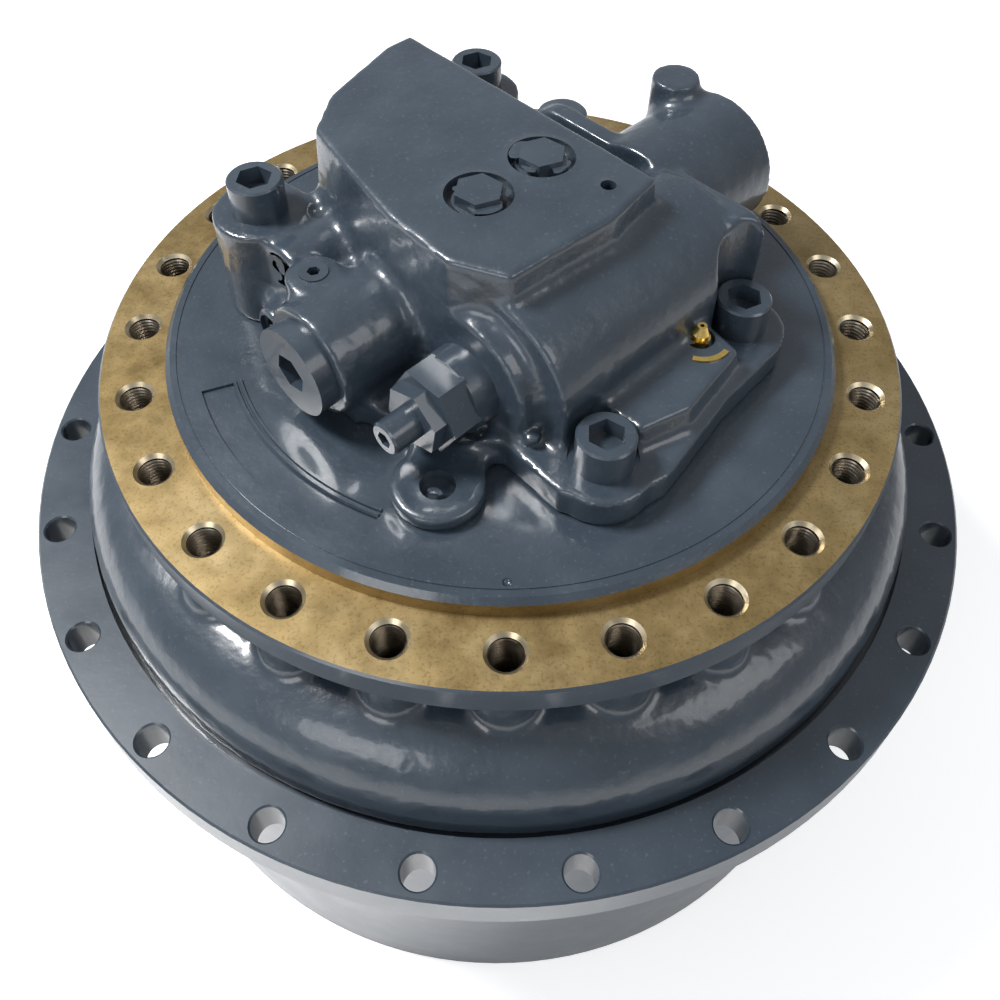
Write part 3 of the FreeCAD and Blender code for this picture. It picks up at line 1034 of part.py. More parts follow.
def write_parts():
    save("hub_drum", hub_drum())
    save("hub_cover", hub_cover())
    save("cover_screws", cover_screws())
    save("cover_plugs", cover_plugs())
    pad_top = STAGE_1[0] - THRUST_GAP
    save("thrust_pad", disc(THRUST_PAD_RADIUS, COVER_THICK - 6, pad_top))
    save("ring_gear", ring_gear())
    save("seal_ring_hub", seal_ring(-1))
    save("seal_ring_frame", seal_ring(1))
    save("seal_oring_hub", seal_oring(-1))
    save("seal_oring_frame", seal_oring(1))
    for name, z0 in (("lower", SPINDLE_END), ("upper", SPINDLE_END + BEARING_WIDTH)):
        save("bearing_" + name + "_outer", race_outer(z0))
        save("bearing_" + name + "_inner", race_inner(z0))
        save("bearing_" + name + "_rollers", rollers(z0))
    save("frame_casting", frame_casting())
    save("carrier_2", carrier_2())
    save("carrier_2_pins", planet_pins(SPINDLE_END, STAGE_2[0], STAGE_2[0] - 1))
    save("carrier_bolts", carrier_bolts())
    save("carrier_1", carrier_1())
    save("carrier_1_pins", planet_pins(CARRIER_1_TOP, STAGE_1[0], STAGE_1[0] - 1))
    for index in range(PLANETS):
        letter = "abc"[index]
        save("planet_1" + letter, planet(index, STAGE_1))
        save("planet_2" + letter, planet(index, STAGE_2))
    save("sun_gear_1", sun_gear_1())
    save("sun_gear_2", sun_gear_2())
    save("motor_shaft", motor_shaft())
    bearing_bottom = BEARING_SEAT_TOP - SHAFT_BEARING_WIDTH
    save("shaft_bearing", tube(SHAFT_BEARING_RADIUS - SEAT_CLEARANCE, SHAFT_RADIUS + RUNNING_FIT,
                               bearing_bottom, BEARING_SEAT_TOP))
    save("shaft_seal", tube(SHAFT_BORE_RADIUS - SEAT_CLEARANCE, SHAFT_RADIUS + RUNNING_FIT,
                            SHAFT_BOTTOM + 0.5, bearing_bottom))
    save("shaft_bush", tube(BUSH_RADIUS, SHAFT_RADIUS + RUNNING_FIT, SPIGOT_TOP, SPIGOT_TOP + BUSH_LENGTH))
    save("cylinder_block", cylinder_block())
    save("pistons", pistons())
    save("piston_shoes", piston_shoes())
    save("retainer_plate", retainer_plate())
    save("brake_discs", brake_discs())
    save("brake_plates", brake_plates())
    save("brake_piston", brake_piston())
    save("brake_springs", brake_springs())
    save("valve_plate", valve_plate())
    save("swash_plate", swash_plate())
    save("servo_piston", servo_piston())
    save("motor_case", motor_case())
    save("motor_bolts", motor_bolts())
    save("case_top_plugs", case_top_plugs())
    save("spool_cap", spool_cap())
    save("counterbalance_spool", counterbalance_spool())
    save("spool_springs", spool_springs())
    save("gauge_plug", gauge_plug())
    save("relief_body", relief_body())
    save("relief_locknut", relief_locknut())
    save("relief_adjuster", relief_adjuster())
    save("relief_poppet", relief_poppet())
    save("relief_spring", relief_spring())
    save("bleed_nipple", bleed_nipple())
    save("lock_strip", lock_strip())


write_parts()
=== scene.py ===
"""The looks of an excavator final drive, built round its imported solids. Lengths are in metres."""
import json
import math

import bmesh
import bpy
from mathutils import Matrix, Vector, noise


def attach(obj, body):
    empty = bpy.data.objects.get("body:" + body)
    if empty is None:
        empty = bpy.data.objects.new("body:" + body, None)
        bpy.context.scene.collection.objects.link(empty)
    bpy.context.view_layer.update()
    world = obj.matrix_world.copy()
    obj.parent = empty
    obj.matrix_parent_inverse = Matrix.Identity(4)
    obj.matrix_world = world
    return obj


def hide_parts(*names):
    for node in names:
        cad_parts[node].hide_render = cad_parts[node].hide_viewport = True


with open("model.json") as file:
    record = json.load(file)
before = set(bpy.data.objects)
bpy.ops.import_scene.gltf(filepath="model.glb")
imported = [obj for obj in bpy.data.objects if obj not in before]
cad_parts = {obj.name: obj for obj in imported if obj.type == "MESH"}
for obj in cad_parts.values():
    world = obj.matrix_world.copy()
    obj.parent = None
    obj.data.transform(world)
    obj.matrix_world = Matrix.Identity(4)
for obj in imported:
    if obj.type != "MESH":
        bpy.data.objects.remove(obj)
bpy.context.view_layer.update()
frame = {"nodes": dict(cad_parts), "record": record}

MM = 0.001
NODES = frame["nodes"]

# ---- the CAD's sizes, in millimetres -----------------------------------------------------------------
HUB_TOP = 236.0
RING_UNDER = 315.0
RING_FACE = 333.0
SPIGOT_TOP = 345.0
CASE_TOP = 448.0
PORT_AXIS = 381.0
RING_RADIUS = 229.0
SPIGOT_RADIUS = 190.5
HOLE_CIRCLE = 209.0
HOLE_COUNT = 24
HOLE_ANGLE = -88.7
HOLE_RADIUS = 8.75
HOLE_BOTTOM = 293.0
MOTOR = Matrix.Rotation(math.radians(-45.0), 4, "Z")
CAST_VOXEL = 1.4
CAST_CLOSING = 4.5
CAST_WAVE = 0.22


# ---- mesh helpers ---------------------------------------------------------------------------------------
def link(name, mesh):
    piece = bpy.data.objects.new(name, mesh)
    bpy.context.scene.collection.objects.link(piece)
    return piece


def from_bmesh(name, bm):
    bmesh.ops.recalc_face_normals(bm, faces=bm.faces)
    mesh = bpy.data.meshes.new(name)
    bm.to_mesh(mesh)
    bm.free()
    return link(name, mesh)


def copy_of(node, name):
    return link(name, NODES[node].data.copy())


def settle(piece):
    """Applies a piece's modifiers."""
    graph = bpy.context.evaluated_depsgraph_get()
    mesh = bpy.data.meshes.new_from_object(piece.evaluated_get(graph))
    piece.modifiers.clear()
    old = piece.data
    piece.data = mesh
    bpy.data.meshes.remove(old)


def combine(piece, other, operation):
    weld(piece)
    weld(other)
    step = piece.modifiers.new("join", "BOOLEAN")
    step.operation = operation
    step.object = other
    step.solver = "MANIFOLD"
    settle(piece)
    bpy.data.objects.remove(other)


def weld(piece):
    bm = bmesh.new()
    bm.from_mesh(piece.data)
    bmesh.ops.remove_doubles(bm, verts=bm.verts, dist=1e-6)
    bm.to_mesh(piece.data)
    bm.free()


def add_cylinder(bm, radius, start, end, top_radius=None, segments=64):
    """A closed cylinder or cone between two points, in millimetres."""
    a = Vector(start) * MM
    b = Vector(end) * MM
    turn = (b - a).to_track_quat("Z", "Y").to_matrix().to_4x4()
    place = Matrix.Translation((a + b) / 2) @ turn
    second = radius if top_radius is None else top_radius
    bmesh.ops.create_cone(bm, cap_ends=True, segments=segments, radius1=radius * MM, radius2=second * MM,
                          depth=(b - a).length, matrix=place)


def motor_point(u, v, z):
    p = MOTOR @ Vector((u, v, z))
    return (p.x, p.y, p.z)


def add_lathe(bm, profile, segments=192):
    """A closed profile of (radius, height) points turned about Z, in millimetres."""
    rings = []
    for k in range(segments):
        angle = 2 * math.pi * k / segments
        c, s = math.cos(angle) * MM, math.sin(angle) * MM
        rings.append([bm.verts.new((r * c, r * s, z * MM)) for r, z in profile])
    count = len(profile)
    for k in range(segments):
        here, there = rings[k], rings[(k + 1) % segments]
        for j in range(count):
            n = (j + 1) % count
            bm.faces.new((here[j], there[j], there[n], here[n]))


def tool(build):
    """A scratch object from a function that fills a bmesh."""
    bm = bmesh.new()
    build(bm)
    return from_bmesh("tool", bm)


def smooth_by_angle(piece, degrees=32.0):
    limit = math.radians(degrees)
    bm = bmesh.new()
    bm.from_mesh(piece.data)
    for face in bm.faces:
        face.smooth = True
    for edge in bm.edges:
        edge.smooth = len(edge.link_faces) != 2 or edge.calc_face_angle(0.0) < limit
    bm.to_mesh(piece.data)
    bm.free()


def voxel(piece, size):
    step = piece.modifiers.new("voxel", "REMESH")
    step.mode = "VOXEL"
    step.voxel_size = size * MM
    settle(piece)


def grow(piece, distance):
    step = piece.modifiers.new("grow", "DISPLACE")
    step.mid_level = 0.0
    step.strength = distance * MM
    settle(piece)


def soften(piece, times):
    step = piece.modifiers.new("soften", "SMOOTH")
    step.factor = 0.5
    step.iterations = times
    settle(piece)


def cast_skin(piece, closing, times):
    """Gives machined-looking solids the fillets, rounded edges and slight waves of a sand casting."""
    voxel(piece, CAST_VOXEL)
    if closing:
        grow(piece, closing)
        voxel(piece, CAST_VOXEL)
        grow(piece, -closing)
        voxel(piece, CAST_VOXEL)
    soften(piece, times)
    bm = bmesh.new()
    bm.from_mesh(piece.data)
    moves = []
    for vertex in bm.verts:
        wave = noise.noise(vertex.co * 90) + 0.5 * noise.noise(vertex.co * 210)
        moves.append(vertex.normal * (wave * CAST_WAVE * MM))
    for vertex, move in zip(bm.verts, moves):
        vertex.co += move
    bm.to_mesh(piece.data)
    bm.free()


# ---- materials ------------------------------------------------------------------------------------------
def new_material(name):
    material = bpy.data.materials.new(name)
    material.use_nodes = True
    tree = material.node_tree
    tree.nodes.clear()
    output = tree.nodes.new("ShaderNodeOutputMaterial")
    shader = tree.nodes.new("ShaderNodeBsdfPrincipled")
    tree.links.new(shader.outputs[0], output.inputs[0])
    place = tree.nodes.new("ShaderNodeTexCoord")
    return material, tree, shader, place.outputs["Object"]


def noise_of(tree, place, scale, detail=3.0, roughness=0.55):
    node = tree.nodes.new("ShaderNodeTexNoise")
    node.inputs["Scale"].default_value = scale
    node.inputs["Detail"].default_value = detail
    node.inputs["Roughness"].default_value = roughness
    tree.links.new(place, node.inputs["Vector"])
    return node.outputs[0]


def ramp_of(tree, factor, stops):
    node = tree.nodes.new("ShaderNodeValToRGB")
    elements = node.color_ramp.elements
    while len(elements) < len(stops):
        elements.new(0.5)
    for element, (at, colour) in zip(elements, stops):
        element.position = at
        element.color = tuple(colour) + (1.0,)
    tree.links.new(factor, node.inputs[0])
    return node.outputs[0]


def range_of(tree, factor, low, high, start=0.3, end=0.7):
    node = tree.nodes.new("ShaderNodeMapRange")
    node.inputs["From Min"].default_value = start
    node.inputs["From Max"].default_value = end
    node.inputs["To Min"].default_value = low
    node.inputs["To Max"].default_value = high
    tree.links.new(factor, node.inputs["Value"])
    return node.outputs[0]


def mix_of(tree, factor, first, second, kind="MIX"):
    node = tree.nodes.new("ShaderNodeMix")
    node.data_type = "RGBA"
    node.blend_type = kind
    for socket, value in ((node.inputs[0], factor), (node.inputs[6], first), (node.inputs[7], second)):
        if isinstance(value, (int, float)):
            socket.default_value = value
        elif isinstance(value, tuple):
            socket.default_value = value + (1.0,)
        else:
            tree.links.new(value, socket)
    return node.outputs[2]


def bump_of(tree, shader, heights):
    """Chains bump nodes: (height, distance in mm, strength) each."""
    before = None
    for height, distance, strength in heights:
        node = tree.nodes.new("ShaderNodeBump")
        node.inputs["Distance"].default_value = distance * MM
        node.inputs["Strength"].default_value = strength
        tree.links.new(height, node.inputs["Height"])
        if before is not None:
            tree.links.new(before, node.inputs["Normal"])
        before = node.outputs[0]
    tree.links.new(before, shader.inputs["Normal"])


def paint(name, cast):
    """Slate-grey gloss paint. Over a casting it lies thicker and follows the sand's grain."""
    material, tree, shader, place = new_material(name)
    blotch = noise_of(tree, place, 22, 4)
    fine = noise_of(tree, place, 420, 3, 0.6)
    base = ramp_of(tree, blotch, ((0.3, (0.022, 0.033, 0.047)), (0.55, (0.029, 0.042, 0.058)),
                                  (0.75, (0.037, 0.052, 0.070))))
    speck = ramp_of(tree, fine, ((0.60, (0.0, 0.0, 0.0)), (0.72, (1.0, 1.0, 1.0))))
    tree.links.new(mix_of(tree, speck, base, (0.050, 0.068, 0.088)), shader.inputs["Base Color"])
    tree.links.new(range_of(tree, blotch, 0.26 if cast else 0.30, 0.40 if cast else 0.42),
                   shader.inputs["Roughness"])
    shader.inputs["Coat Weight"].default_value = 0.55
    shader.inputs["Coat Roughness"].default_value = 0.10 if cast else 0.14
    grain = noise_of(tree, place, 330 if cast else 520, 4, 0.62)
    peel = noise_of(tree, place, 110, 2)
    bump_of(tree, shader, ((peel, 0.6 if cast else 0.12, 0.5), (grain, 0.28 if cast else 0.05, 0.6)))
    return material


def metal(name, dark, light, rough=(0.25, 0.4), scale=60, grain=0.05, turned=False):
    """Bare metal: two tones of it, its roughness and, where it was turned, its tool marks."""
    material, tree, shader, place = new_material(name)
    tone = noise_of(tree, place, scale, 5, 0.6)
    colour = ramp_of(tree, tone, ((0.35, dark), (0.65, light)))
    tree.links.new(colour, shader.inputs["Base Color"])
    shader.inputs["Metallic"].default_value = 1.0
    tree.links.new(range_of(tree, tone, rough[0], rough[1]), shader.inputs["Roughness"])
    heights = [(noise_of(tree, place, 900, 3), grain, 0.5)]
    if turned:
        marks = tree.nodes.new("ShaderNodeTexWave")
        marks.wave_type = "RINGS"
        marks.rings_direction = "Z"
        marks.inputs["Scale"].default_value = 420
        marks.inputs["Distortion"].default_value = 1.2
        tree.links.new(place, marks.inputs["Vector"])
        heights.append((marks.outputs["Fac"], 0.02, 0.5))
    bump_of(tree, shader, heights)
    return material


def ring_face_metal():
    """The machined frame face: bare metal under a thin golden film that has stained unevenly."""
    material, tree, shader, place = new_material("ring_gold")
    cloud = noise_of(tree, place, 16, 5, 0.6)
    stain = noise_of(tree, place, 70, 5, 0.65)
    speck = noise_of(tree, place, 600, 3, 0.6)
    base = ramp_of(tree, cloud, ((0.30, (0.25, 0.175, 0.070)), (0.52, (0.33, 0.24, 0.108)),
                                 (0.72, (0.42, 0.325, 0.175))))
    shade = ramp_of(tree, stain, ((0.35, (0.80, 0.78, 0.72)), (0.65, (1.0, 1.0, 1.0))))
    mixed = mix_of(tree, 1.0, base, shade, "MULTIPLY")
    dots = ramp_of(tree, speck, ((0.36, (0.55, 0.5, 0.42)), (0.46, (1.0, 1.0, 1.0))))
    tree.links.new(mix_of(tree, 0.5, mixed, mix_of(tree, 1.0, mixed, dots, "MULTIPLY")),
                   shader.inputs["Base Color"])
    shader.inputs["Metallic"].default_value = 0.75
    tree.links.new(range_of(tree, stain, 0.34, 0.50), shader.inputs["Roughness"])
    marks = tree.nodes.new("ShaderNodeTexWave")
    marks.wave_type = "RINGS"
    marks.rings_direction = "Z"
    marks.inputs["Scale"].default_value = 330
    marks.inputs["Distortion"].default_value = 0.8
    tree.links.new(place, marks.inputs["Vector"])
    bump_of(tree, shader, ((marks.outputs["Fac"], 0.02, 0.5), (speck, 0.04, 0.5)))
    return material


def rubber(name):
    material, tree, shader, place = new_material(name)
    tone = noise_of(tree, place, 300, 3)
    tree.links.new(ramp_of(tree, tone, ((0.3, (0.012, 0.012, 0.013)), (0.7, (0.03, 0.03, 0.032)))),
                   shader.inputs["Base Color"])
    tree.links.new(range_of(tree, tone, 0.55, 0.75), shader.inputs["Roughness"])
    bump_of(tree, shader, ((tone, 0.05, 0.4),))
    return material


CAST_PAINT = paint("slate_cast_paint", True)
PAINT = paint("slate_paint", False)
GOLD = ring_face_metal()
BRIGHT = metal("bright_edge", (0.42, 0.35, 0.23), (0.62, 0.54, 0.39), (0.28, 0.42))
THREAD = metal("thread_steel", (0.20, 0.175, 0.145), (0.40, 0.36, 0.30), (0.26, 0.40))
# Hole walls: steel darkened to near black as painted shade inside the deep holes, not the drilled metal's own colour.
HOLE_PAINTED_SHADE = metal("hole_wall_painted_shade", (0.02, 0.018, 0.016), (0.05, 0.045, 0.04), (0.5, 0.65))
BRASS = metal("brass", (0.78, 0.52, 0.13), (0.95, 0.72, 0.26), (0.14, 0.26), 90)
BRONZE = metal("bronze", (0.50, 0.33, 0.15), (0.66, 0.46, 0.24), (0.25, 0.38), 80, turned=True)
BEARING = metal("bearing_steel", (0.60, 0.61, 0.63), (0.74, 0.75, 0.77), (0.12, 0.2), 50, 0.02)
GEAR = metal("gear_steel", (0.38, 0.38, 0.40), (0.52, 0.52, 0.54), (0.26, 0.38), 70)
STEEL = metal("machined_steel", (0.46, 0.46, 0.48), (0.62, 0.62, 0.64), (0.22, 0.34), 60, turned=True)
IRON = metal("bare_iron", (0.14, 0.14, 0.145), (0.24, 0.24, 0.245), (0.45, 0.62), 80, 0.3)
SPRING = metal("spring_steel", (0.24, 0.25, 0.29), (0.36, 0.37, 0.41), (0.3, 0.42))
LINING = metal("friction_lining", (0.22, 0.16, 0.11), (0.34, 0.26, 0.18), (0.55, 0.7), 200, 0.2)
RUBBER = rubber("rubber")
SLOT_LOOKS = {"slate_paint": PAINT, "painted_steel": PAINT, "brass": BRASS, "bronze": BRONZE,
              "bearing_steel": BEARING, "gear_steel": GEAR, "machined_steel": STEEL, "cast_iron": IRON,
              "spring_steel": SPRING, "rubber": RUBBER, "friction_lining": LINING}


def dress(piece, *materials):
    piece.data.materials.clear()
    for material in materials:
        piece.data.materials.append(material)


def replace(piece, body, slot, *nodes):
    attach(piece, body)
    if nodes:
        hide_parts(*nodes)


# ---- every CAD node that stays -----------------------------------------------------------------------------
NODE_SLOT = {row["node"]: row["material_slot"] for row in frame["record"]["subparts"]}
for node_name, node in NODES.items():
    dress(node, SLOT_LOOKS[NODE_SLOT[node_name]])


# ---- frame casting ------------------------------------------------------------------------------------------
def hole_place(k):
    angle = math.radians(HOLE_ANGLE + 360.0 * k / HOLE_COUNT)
    return HOLE_CIRCLE * math.cos(angle), HOLE_CIRCLE * math.sin(angle)


HOLES = [hole_place(k) for k in range(HOLE_COUNT)]


def nearest_hole(x, y):
    return min(math.hypot(x - hx, y - hy) for hx, hy in HOLES)


def ring_holes(bm, radius, low, high):
    for x, y in HOLES:
        add_cylinder(bm, radius, (x, y, low), (x, y, high))


BELL_VOID = ((175, 240), (175, 255.5), (200, 268), (226, 268), (226, 252), (243, 252), (243, 225), (175, 225))


def make_frame():
    upper = copy_of("frame_casting", "frame_ring_and_spindle")
    combine(upper, tool(lambda bm: add_lathe(bm, ((184, 200), (262, 200), (262, RING_UNDER), (184, RING_UNDER)))),
            "DIFFERENCE")
    groove = ((183, 344.5), (183, 347), (184, 347), (184, 344.5))
    combine(upper, tool(lambda bm: add_lathe(bm, groove)), "DIFFERENCE")
    bell = copy_of("frame_casting", "frame_bell")
    combine(bell, tool(lambda bm: add_lathe(bm, ((180, 200), (262, 200), (262, 317), (180, 317)))), "INTERSECT")
    combine(bell, tool(lambda bm: ring_holes(bm, HOLE_RADIUS + 1, HOLE_BOTTOM - 1, 316.5)), "UNION")
    combine(bell, tool(lambda bm: add_lathe(bm, ((181, 232), (250, 232), (250, 262), (230, 270), (181, 270)))),
            "UNION")
    cast_skin(bell, 4.0, 5)
    combine(bell, tool(lambda bm: ring_holes(bm, HOLE_RADIUS, HOLE_BOTTOM, 330)), "DIFFERENCE")
    combine(bell, tool(lambda bm: add_lathe(bm, BELL_VOID)), "DIFFERENCE")
    smooth_by_angle(bell)
    smooth_by_angle(upper)
    dress(bell, CAST_PAINT, HOLE_PAINTED_SHADE)
    # The bell's hole walls take the near-black painted shade.
    for face in bell.data.polygons:
        x, y, z = (c / MM for c in face.center)
        if z < 316.0 and nearest_hole(x, y) < HOLE_RADIUS + 0.1:
            face.material_index = 1
    dress(upper, PAINT, GOLD, BRIGHT, HOLE_PAINTED_SHADE, CAST_PAINT)
    for face in upper.data.polygons:
        x, y, z = (c / MM for c in face.center)
        radius = math.hypot(x, y)
        up = face.normal.z
        if z < RING_UNDER - 0.1:
            continue
        if 189.9 < radius < RING_RADIUS + 0.1:
            nearest = nearest_hole(x, y)
            if up > 0.95 and abs(z - RING_FACE) < 0.2:
                face.material_index = 1
            elif nearest < HOLE_RADIUS + 2.2 and z > RING_FACE - 2.1:
                face.material_index = 2
            # The ring's hole walls take the near-black painted shade.
            elif nearest < HOLE_RADIUS + 0.3:
                face.material_index = 3
            elif radius < SPIGOT_RADIUS + 0.2 and abs(up) < 0.3 and z < SPIGOT_TOP - 2.5:
                face.material_index = 1
        elif radius < 190 and z > SPIGOT_TOP - 2:
            face.material_index = 4
    replace(upper, "frame", "slate_paint", "frame_casting")
    replace(bell, "frame", "slate_paint", "frame_casting")


def make_threads():
    """A right-hand thread in each frame hole: its crests stand just inside the drilled wall."""
    crest, root, pitch = HOLE_RADIUS - 0.75, HOLE_RADIUS + 0.05, 2.5
    low, high, around = HOLE_BOTTOM + 6, RING_FACE - 2.2, 28
    turns = int((high - low) / pitch)
    bm = bmesh.new()
    for x, y in HOLES:
        rows = []
        for step in range(turns * around + 1):
            angle = 2 * math.pi * step / around
            z = low + pitch * step / around
            c, s = math.cos(angle), math.sin(angle)
            row = []
            for radius, lift in ((root, 0.0), (crest, pitch * 0.42), (crest, pitch * 0.58), (root, pitch)):
                row.append(bm.verts.new(((x + radius * c) * MM, (y + radius * s) * MM, (z + lift) * MM)))
            rows.append(row)
        for a, b in zip(rows, rows[1:]):
            for j in range(3):
                bm.faces.new((a[j], b[j], b[j + 1], a[j + 1]))
            bm.faces.new((a[3], b[3], b[0], a[0]))
        bm.faces.new(rows[0])
        bm.faces.new(list(reversed(rows[-1])))
    threads = from_bmesh("frame_hole_threads", bm)
    smooth_by_angle(threads, 40)
    dress(threads, THREAD)
    replace(threads, "frame", "machined_steel")


# ---- motor case ---------------------------------------------------------------------------------------------
BOLTS = ((174.5, 63.0), (97.6, 63.0), (-11.0, 19.0), (-67.4, 19.0))
BOLT_CIRCLE = 132.0
RELIEF_U = 50.0
SPOOL_U = -15.0
TOP_PLUGS = ((9, -26), (9, 18))


def bolt_place(angle):
    a = math.radians(angle)
    return BOLT_CIRCLE * math.cos(a), BOLT_CIRCLE * math.sin(a)


WIDE, DEEP = 0, 1


def bores(kind):
    """The case's machined holes: (radius, start, end) each, in the motor's own axes. Wide ones open into deep ones."""
    if kind == WIDE:
        holes = [(26.02, (0, 0, SPIGOT_TOP - 1), (0, 0, 365))]
        for k in range(8):
            a = math.radians(56.0 + 45 * k)
            u, v = 94 * math.cos(a), 94 * math.sin(a)
            holes.append((8.5, (u, v, SPIGOT_TOP - 1), (u, v, 359)))
        holes.append((16.1, (SPOOL_U, -123, PORT_AXIS), (SPOOL_U, -110, PORT_AXIS)))
        holes.append((22.1, (RELIEF_U, -73, PORT_AXIS), (RELIEF_U, -46, PORT_AXIS)))
        holes.append((17.1, (-66, -98, 387), (-66, -95, 387)))
        holes.append((10.4, (-62, -114, 362.5), (-62, -111, 362.5)))
        for u, v in TOP_PLUGS:
            holes.append((17.5, (u, v, CASE_TOP - 5), (u, v, CASE_TOP + 1)))
        holes.append((9.0, (72, -114, 349), (72, -114, 355)))
        holes.append((8.0, (110, 36, 376), (110, 36, 380)))
    else:
        holes = [(12.0, (SPOOL_U, -121, PORT_AXIS), (SPOOL_U, 62, PORT_AXIS)),
                 (7.0, (RELIEF_U, -70, PORT_AXIS), (RELIEF_U, -32, PORT_AXIS)),
                 (15.0, (22, 161, 387), (22, 134, 387)),
                 (10.5, (-66, -98, 387), (-66, -75, 387)),
                 (7.5, (-62, -114, 362.5), (-62, -91, 362.5)),
                 (4.0, (48, 25, CASE_TOP - 12), (48, 25, CASE_TOP + 1)),
                 (7.6, (-37, -97, 401), (-37, -97, 412)),
                 (4.1, (110, 36, 365), (110, 36, 377))]
        for u, v in TOP_PLUGS:
            holes.append((8.1, (u, v, CASE_TOP - 20), (u, v, CASE_TOP)))
    return holes


def drill(bm, holes, extra=0.0):
    for radius, start, end in holes:
        add_cylinder(bm, radius + extra, motor_point(*start), motor_point(*end))


def bolt_holes(bm, radius, above):
    """Above starts at the lug's top and clears the screw's head. Otherwise the hole goes through the lug."""
    for angle, lug in BOLTS:
        x, y = bolt_place(angle)
        top = SPIGOT_TOP + lug
        low, high = (top, CASE_TOP + 10) if above else (SPIGOT_TOP - 1, top + 1)
        add_cylinder(bm, radius, (x, y, low), (x, y, high))


def case_foot(bm):
    add_cylinder(bm, 300, (0, 0, SPIGOT_TOP - 30), (0, 0, SPIGOT_TOP))


def small_forms(bm):
    """The ridge along the case's back edge, the rib down its shoulder and the core plug in the low lug."""
    for radius, start, end in ((3.0, (-116, 44.5, 446.6), (54, 44.5, 446.6)),
                               (4.5, (64, -28, 430), (88, -2, 420)),
                               (8.0, (118, 12, 367), (140.5, 14, 361))):
        add_cylinder(bm, radius, motor_point(*start), motor_point(*end), segments=24)


def make_case():
    case = copy_of("motor_case", "motor_case_casting")
    for kind in (WIDE, DEEP):
        combine(case, tool(lambda bm: drill(bm, bores(kind), 0.4)), "UNION")
    combine(case, tool(lambda bm: bolt_holes(bm, 11.4, False)), "UNION")
    combine(case, tool(small_forms), "UNION")
    combine(case, tool(case_foot), "DIFFERENCE")
    cast_skin(case, CAST_CLOSING, 4)
    for kind in (WIDE, DEEP):
        combine(case, tool(lambda bm: drill(bm, bores(kind))), "DIFFERENCE")
    for radius, above in ((18.0, True), (11.0, False)):
        combine(case, tool(lambda bm: bolt_holes(bm, radius, above)), "DIFFERENCE")
    combine(case, tool(case_foot), "DIFFERENCE")
    smooth_by_angle(case)
    dress(case, CAST_PAINT)
    replace(case, "frame", "slate_paint", "motor_case")


def make_panel_lips():
    """The two raised lines on the inner edge of the spigot's number panel, whose face is left bare."""
    bm = bmesh.new()
    for inner, outer in ((151.0, 152.4), (154.2, 155.4)):
        profile = ((inner - 0.6, 344.6), (inner, 346.3), (outer, 346.3), (outer + 0.6, 344.6))
        rows = []
        for step in range(49):
            angle = math.radians(-158.0 + 46.0 * step / 48)
            c, s = math.cos(angle) * MM, math.sin(angle) * MM
            rows.append([bm.verts.new((r * c, r * s, z * MM)) for r, z in profile])
        for a, b in zip(rows, rows[1:]):
            for j in range(4):
                bm.faces.new((a[j], b[j], b[(j + 1) % 4], a[(j + 1) % 4]))
        bm.faces.new(rows[0])
        bm.faces.new(list(reversed(rows[-1])))
    lips = from_bmesh("panel_lips", bm)
    smooth_by_angle(lips)
    dress(lips, CAST_PAINT)
    replace(lips, "frame", "slate_paint")


make_frame()
make_threads()
make_panel_lips()
make_case()


# ---- floor, light and camera -------------------------------------------------------------------------------
def make_floor():
    bm = bmesh.new()
    bmesh.ops.create_grid(bm, x_segments=1, y_segments=1, size=12.0)
    floor = from_bmesh("floor", bm)
    floor.location.z = -0.0005
    material, tree, shader, place = new_material("floor_white")
    tone = noise_of(tree, place, 2.0, 2)
    tree.links.new(ramp_of(tree, tone, ((0.0, (0.93, 0.93, 0.93)), (1.0, (0.95, 0.95, 0.95)))),
                   shader.inputs["Base Color"])
    shader.inputs["Roughness"].default_value = 0.9
    shader.inputs["Specular IOR Level"].default_value = 0.0
    shader.inputs["Emission Color"].default_value = (1.0, 1.0, 1.0, 1.0)
    path = tree.nodes.new("ShaderNodeLightPath")
    lift = tree.nodes.new("ShaderNodeMath")
    lift.operation = "MULTIPLY"
    lift.inputs[1].default_value = 0.45
    tree.links.new(path.outputs["Is Camera Ray"], lift.inputs[0])
    tree.links.new(lift.outputs[0], shader.inputs["Emission Strength"])
    dress(floor, material)


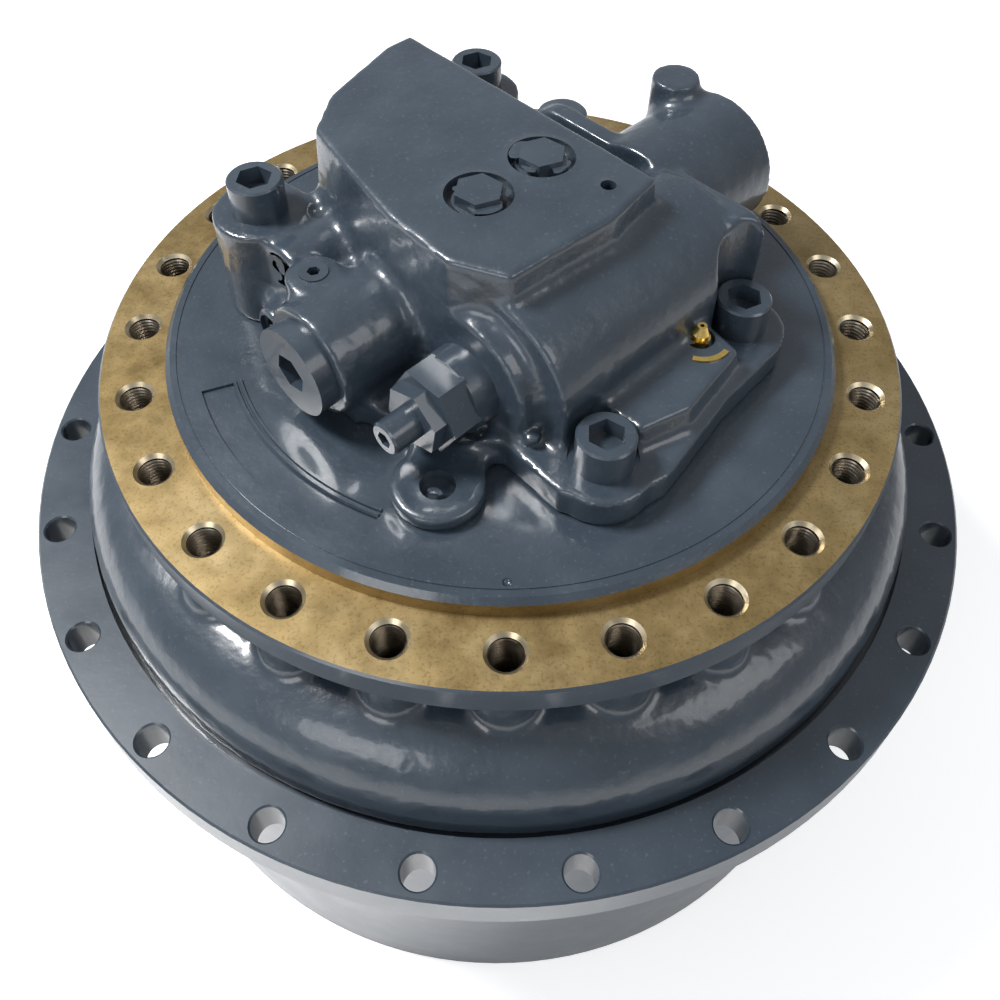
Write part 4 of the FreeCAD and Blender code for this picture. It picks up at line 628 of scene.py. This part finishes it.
def area_light(name, at, target, size, power, size_y=None):
    lamp = bpy.data.lights.new(name, "AREA")
    lamp.shape = "RECTANGLE"
    lamp.size = size
    lamp.size_y = size_y or size
    lamp.energy = power
    lamp_object = bpy.data.objects.new(name, lamp)
    bpy.context.scene.collection.objects.link(lamp_object)
    lamp_object.location = at
    lamp_object.rotation_euler = (Vector(target) - Vector(at)).to_track_quat("-Z", "Y").to_euler()


def make_world():
    world = bpy.data.worlds.new("studio")
    bpy.context.scene.world = world
    world.use_nodes = True
    tree = world.node_tree
    tree.nodes.clear()
    output = tree.nodes.new("ShaderNodeOutputWorld")
    soft = tree.nodes.new("ShaderNodeBackground")
    soft.inputs[0].default_value = (0.93, 0.96, 1.0, 1.0)
    soft.inputs[1].default_value = 0.42
    white = tree.nodes.new("ShaderNodeBackground")
    white.inputs[0].default_value = (1.0, 1.0, 1.0, 1.0)
    white.inputs[1].default_value = 1.0
    path = tree.nodes.new("ShaderNodeLightPath")
    mix = tree.nodes.new("ShaderNodeMixShader")
    tree.links.new(path.outputs["Is Camera Ray"], mix.inputs[0])
    tree.links.new(soft.outputs[0], mix.inputs[1])
    tree.links.new(white.outputs[0], mix.inputs[2])
    tree.links.new(mix.outputs[0], output.inputs[0])


def make_camera():
    data = bpy.data.cameras.new("camera")
    data.sensor_width = 36.0
    data.lens = 37.04
    data.shift_y = -0.1
    data.clip_end = 50.0
    camera = bpy.data.objects.new("camera", data)
    bpy.context.scene.collection.objects.link(camera)
    camera.location = (0.0, -0.42957, 0.75992)
    tilt = Matrix.Rotation(math.radians(90.0 - 48.88), 4, "X")
    roll = Matrix.Rotation(math.radians(0.97), 4, "Z")
    camera.rotation_euler = (tilt @ roll).to_euler()
    bpy.context.scene.camera = camera


make_floor()
make_world()
area_light("key", (-1.2, 0.1, 2.0), (0, 0, 0.3), 0.5, 62)
area_light("fill", (1.5, -0.9, 1.7), (0, 0, 0.25), 1.0, 9)
area_light("front", (-0.9, -1.6, 1.1), (0, 0, 0.2), 0.8, 8)
make_camera()
bpy.context.scene.view_settings.view_transform = "Standard"
